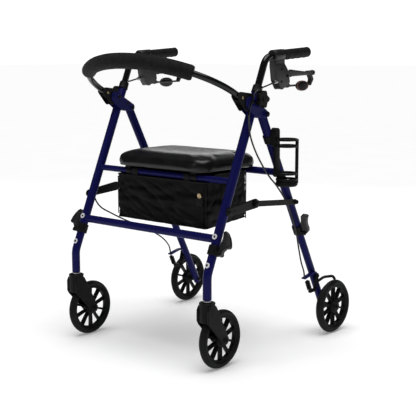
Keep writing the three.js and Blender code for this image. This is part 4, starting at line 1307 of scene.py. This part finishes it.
def build_cup_holder():
    """A clamp block on the leg that carries two double hoops, an outer post and a small tray."""
    x, y = CUP
    reach = CUP_RADIUS
    up = (0, 0, 1)
    shapes = [
        plate(hull_outline([(-15, 680, 11), (-14, 560, 12)]), 303.4, 311),
        plate(hull_outline([(-15, 680, 11), (-14, 645, 11)]), 292.4, 304),
        plate(hull_outline([(-20, 554, 10), (8, 549, 10)]), 304.6, 317),
    ]
    hoop = [(reach - 4.5, -3.4), (reach, -3.4), (reach, 3.4), (reach - 4.5, 3.4)]
    shapes += [lathe(hoop, (x, y, z), up, 64, True) for z in (657, 638, 556, 538)]
    shapes.append(block(x + 20, x + 28, y + 15, y + 22, 526, 659))
    tray = [(0.5, 0), (30, 0), (34, 5), (reach - 1, 14), (reach - 4, 14), (30, 5), (27, 3), (0.5, 3)]
    shapes.append(lathe(tray, (x, y, 518), up, 64, True))
    clamp = [(13.4, -12), (17.2, -12), (17.2, 12), (13.4, 12)]
    spot = Vector(rear_leg_point(658))
    along = Vector(rear_leg_point(659)) - spot
    shapes.append(lathe(clamp, spot, along, 56, True))
    shapes.append(side_bolt(-16, 668, 309, 1, 4, 2.5))
    piece("cup_cage", shapes, PLASTIC, "rear_frame", "cup_holder", bevel=1.1)


# ---- brake cables ----
# Each route lists (out from the leg plane, y, z) from the brake housing to the rear brake.
LEFT_ROUTE = [
    (9.4, -3, 824.7), (12, -26, 819.6), (18, -50, 816), (24, -82, 811), (24, -106, 803), (24, -121, 786),
    (23, -135, 760), (22, -140, 735), (22, -138, 706), (20, -132, 678), (16, -103, 630),
    (12, -58, 577), (10, -20, 540), (10, 10, 515), (10, 48, 476), (8, 78, 440), (8, 100, 402),
    (12, 114, 360), (12, 131, 300), (12, 147, 250), (14, 158, 222), (14, 162, 203),
]
RIGHT_ROUTE = [
    (9.4, -3, 824.7), (12, -26, 819.6), (24, -44, 812), (44, -48, 790), (48, -52, 755), (42, -62, 722),
    (24, -92, 685), (13, -120, 640), (11, -150, 590), (10, -172, 540), (9, -194, 488),
    (8, -206, 450), (-4, -196, 418), (-14, -150, 388), (-16, -100, 363), (-16, -30, 332),
    (-14, 66, 287), (-10, 107, 260), (4, 142, 234), (14, 158, 219), (14, 162, 203),
]
HIGH_SPLIT_Z = 640
LOW_SPLIT_Z = 400


def cable_section(name, points, replaced=""):
    """One stretch of a cable, as a tube along its points, fixed in the world frame."""
    obj = mesh_object(name, [tube(points, CABLE_RADIUS, 12)])
    shade(obj, 60)
    obj.data.materials.append(SHEATH[0])
    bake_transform(obj)
    if replaced:
        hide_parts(replaced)


def build_cables():
    for side, sign, route in (("left", 1, LEFT_ROUTE), ("right", -1, RIGHT_ROUTE)):
        line = smooth_line([(sign * (LEG_X + out), y, z) for out, y, z in route], 5)
        high = next(i for i, p in enumerate(line) if p.z < HIGH_SPLIT_Z)
        low = next(i for i, p in enumerate(line) if p.z < LOW_SPLIT_Z)
        node = f"brake_cable_{side}"
        cable_section(f"cable_top_{side}", line[: high + 1], node)
        cable_section(f"cable_middle_{side}", line[high : low + 1])
        cable_section(f"cable_low_{side}", line[low:])


build_studio()
build_cables()
build_front_frame()
build_rear_frame()
build_wheels()
build_clamps()
for side in SIDES:
    build_front_lower_leg(side)
    build_caster(side)
    build_rear_lower_leg(side)
    build_brake(side)
    build_handle(side)
    build_brake_lever(side)
    build_knob(side)
build_backrest()
build_cushion()
build_board()
build_bag()
for side in SIDES:
    build_braces(side)
build_cup_holder()
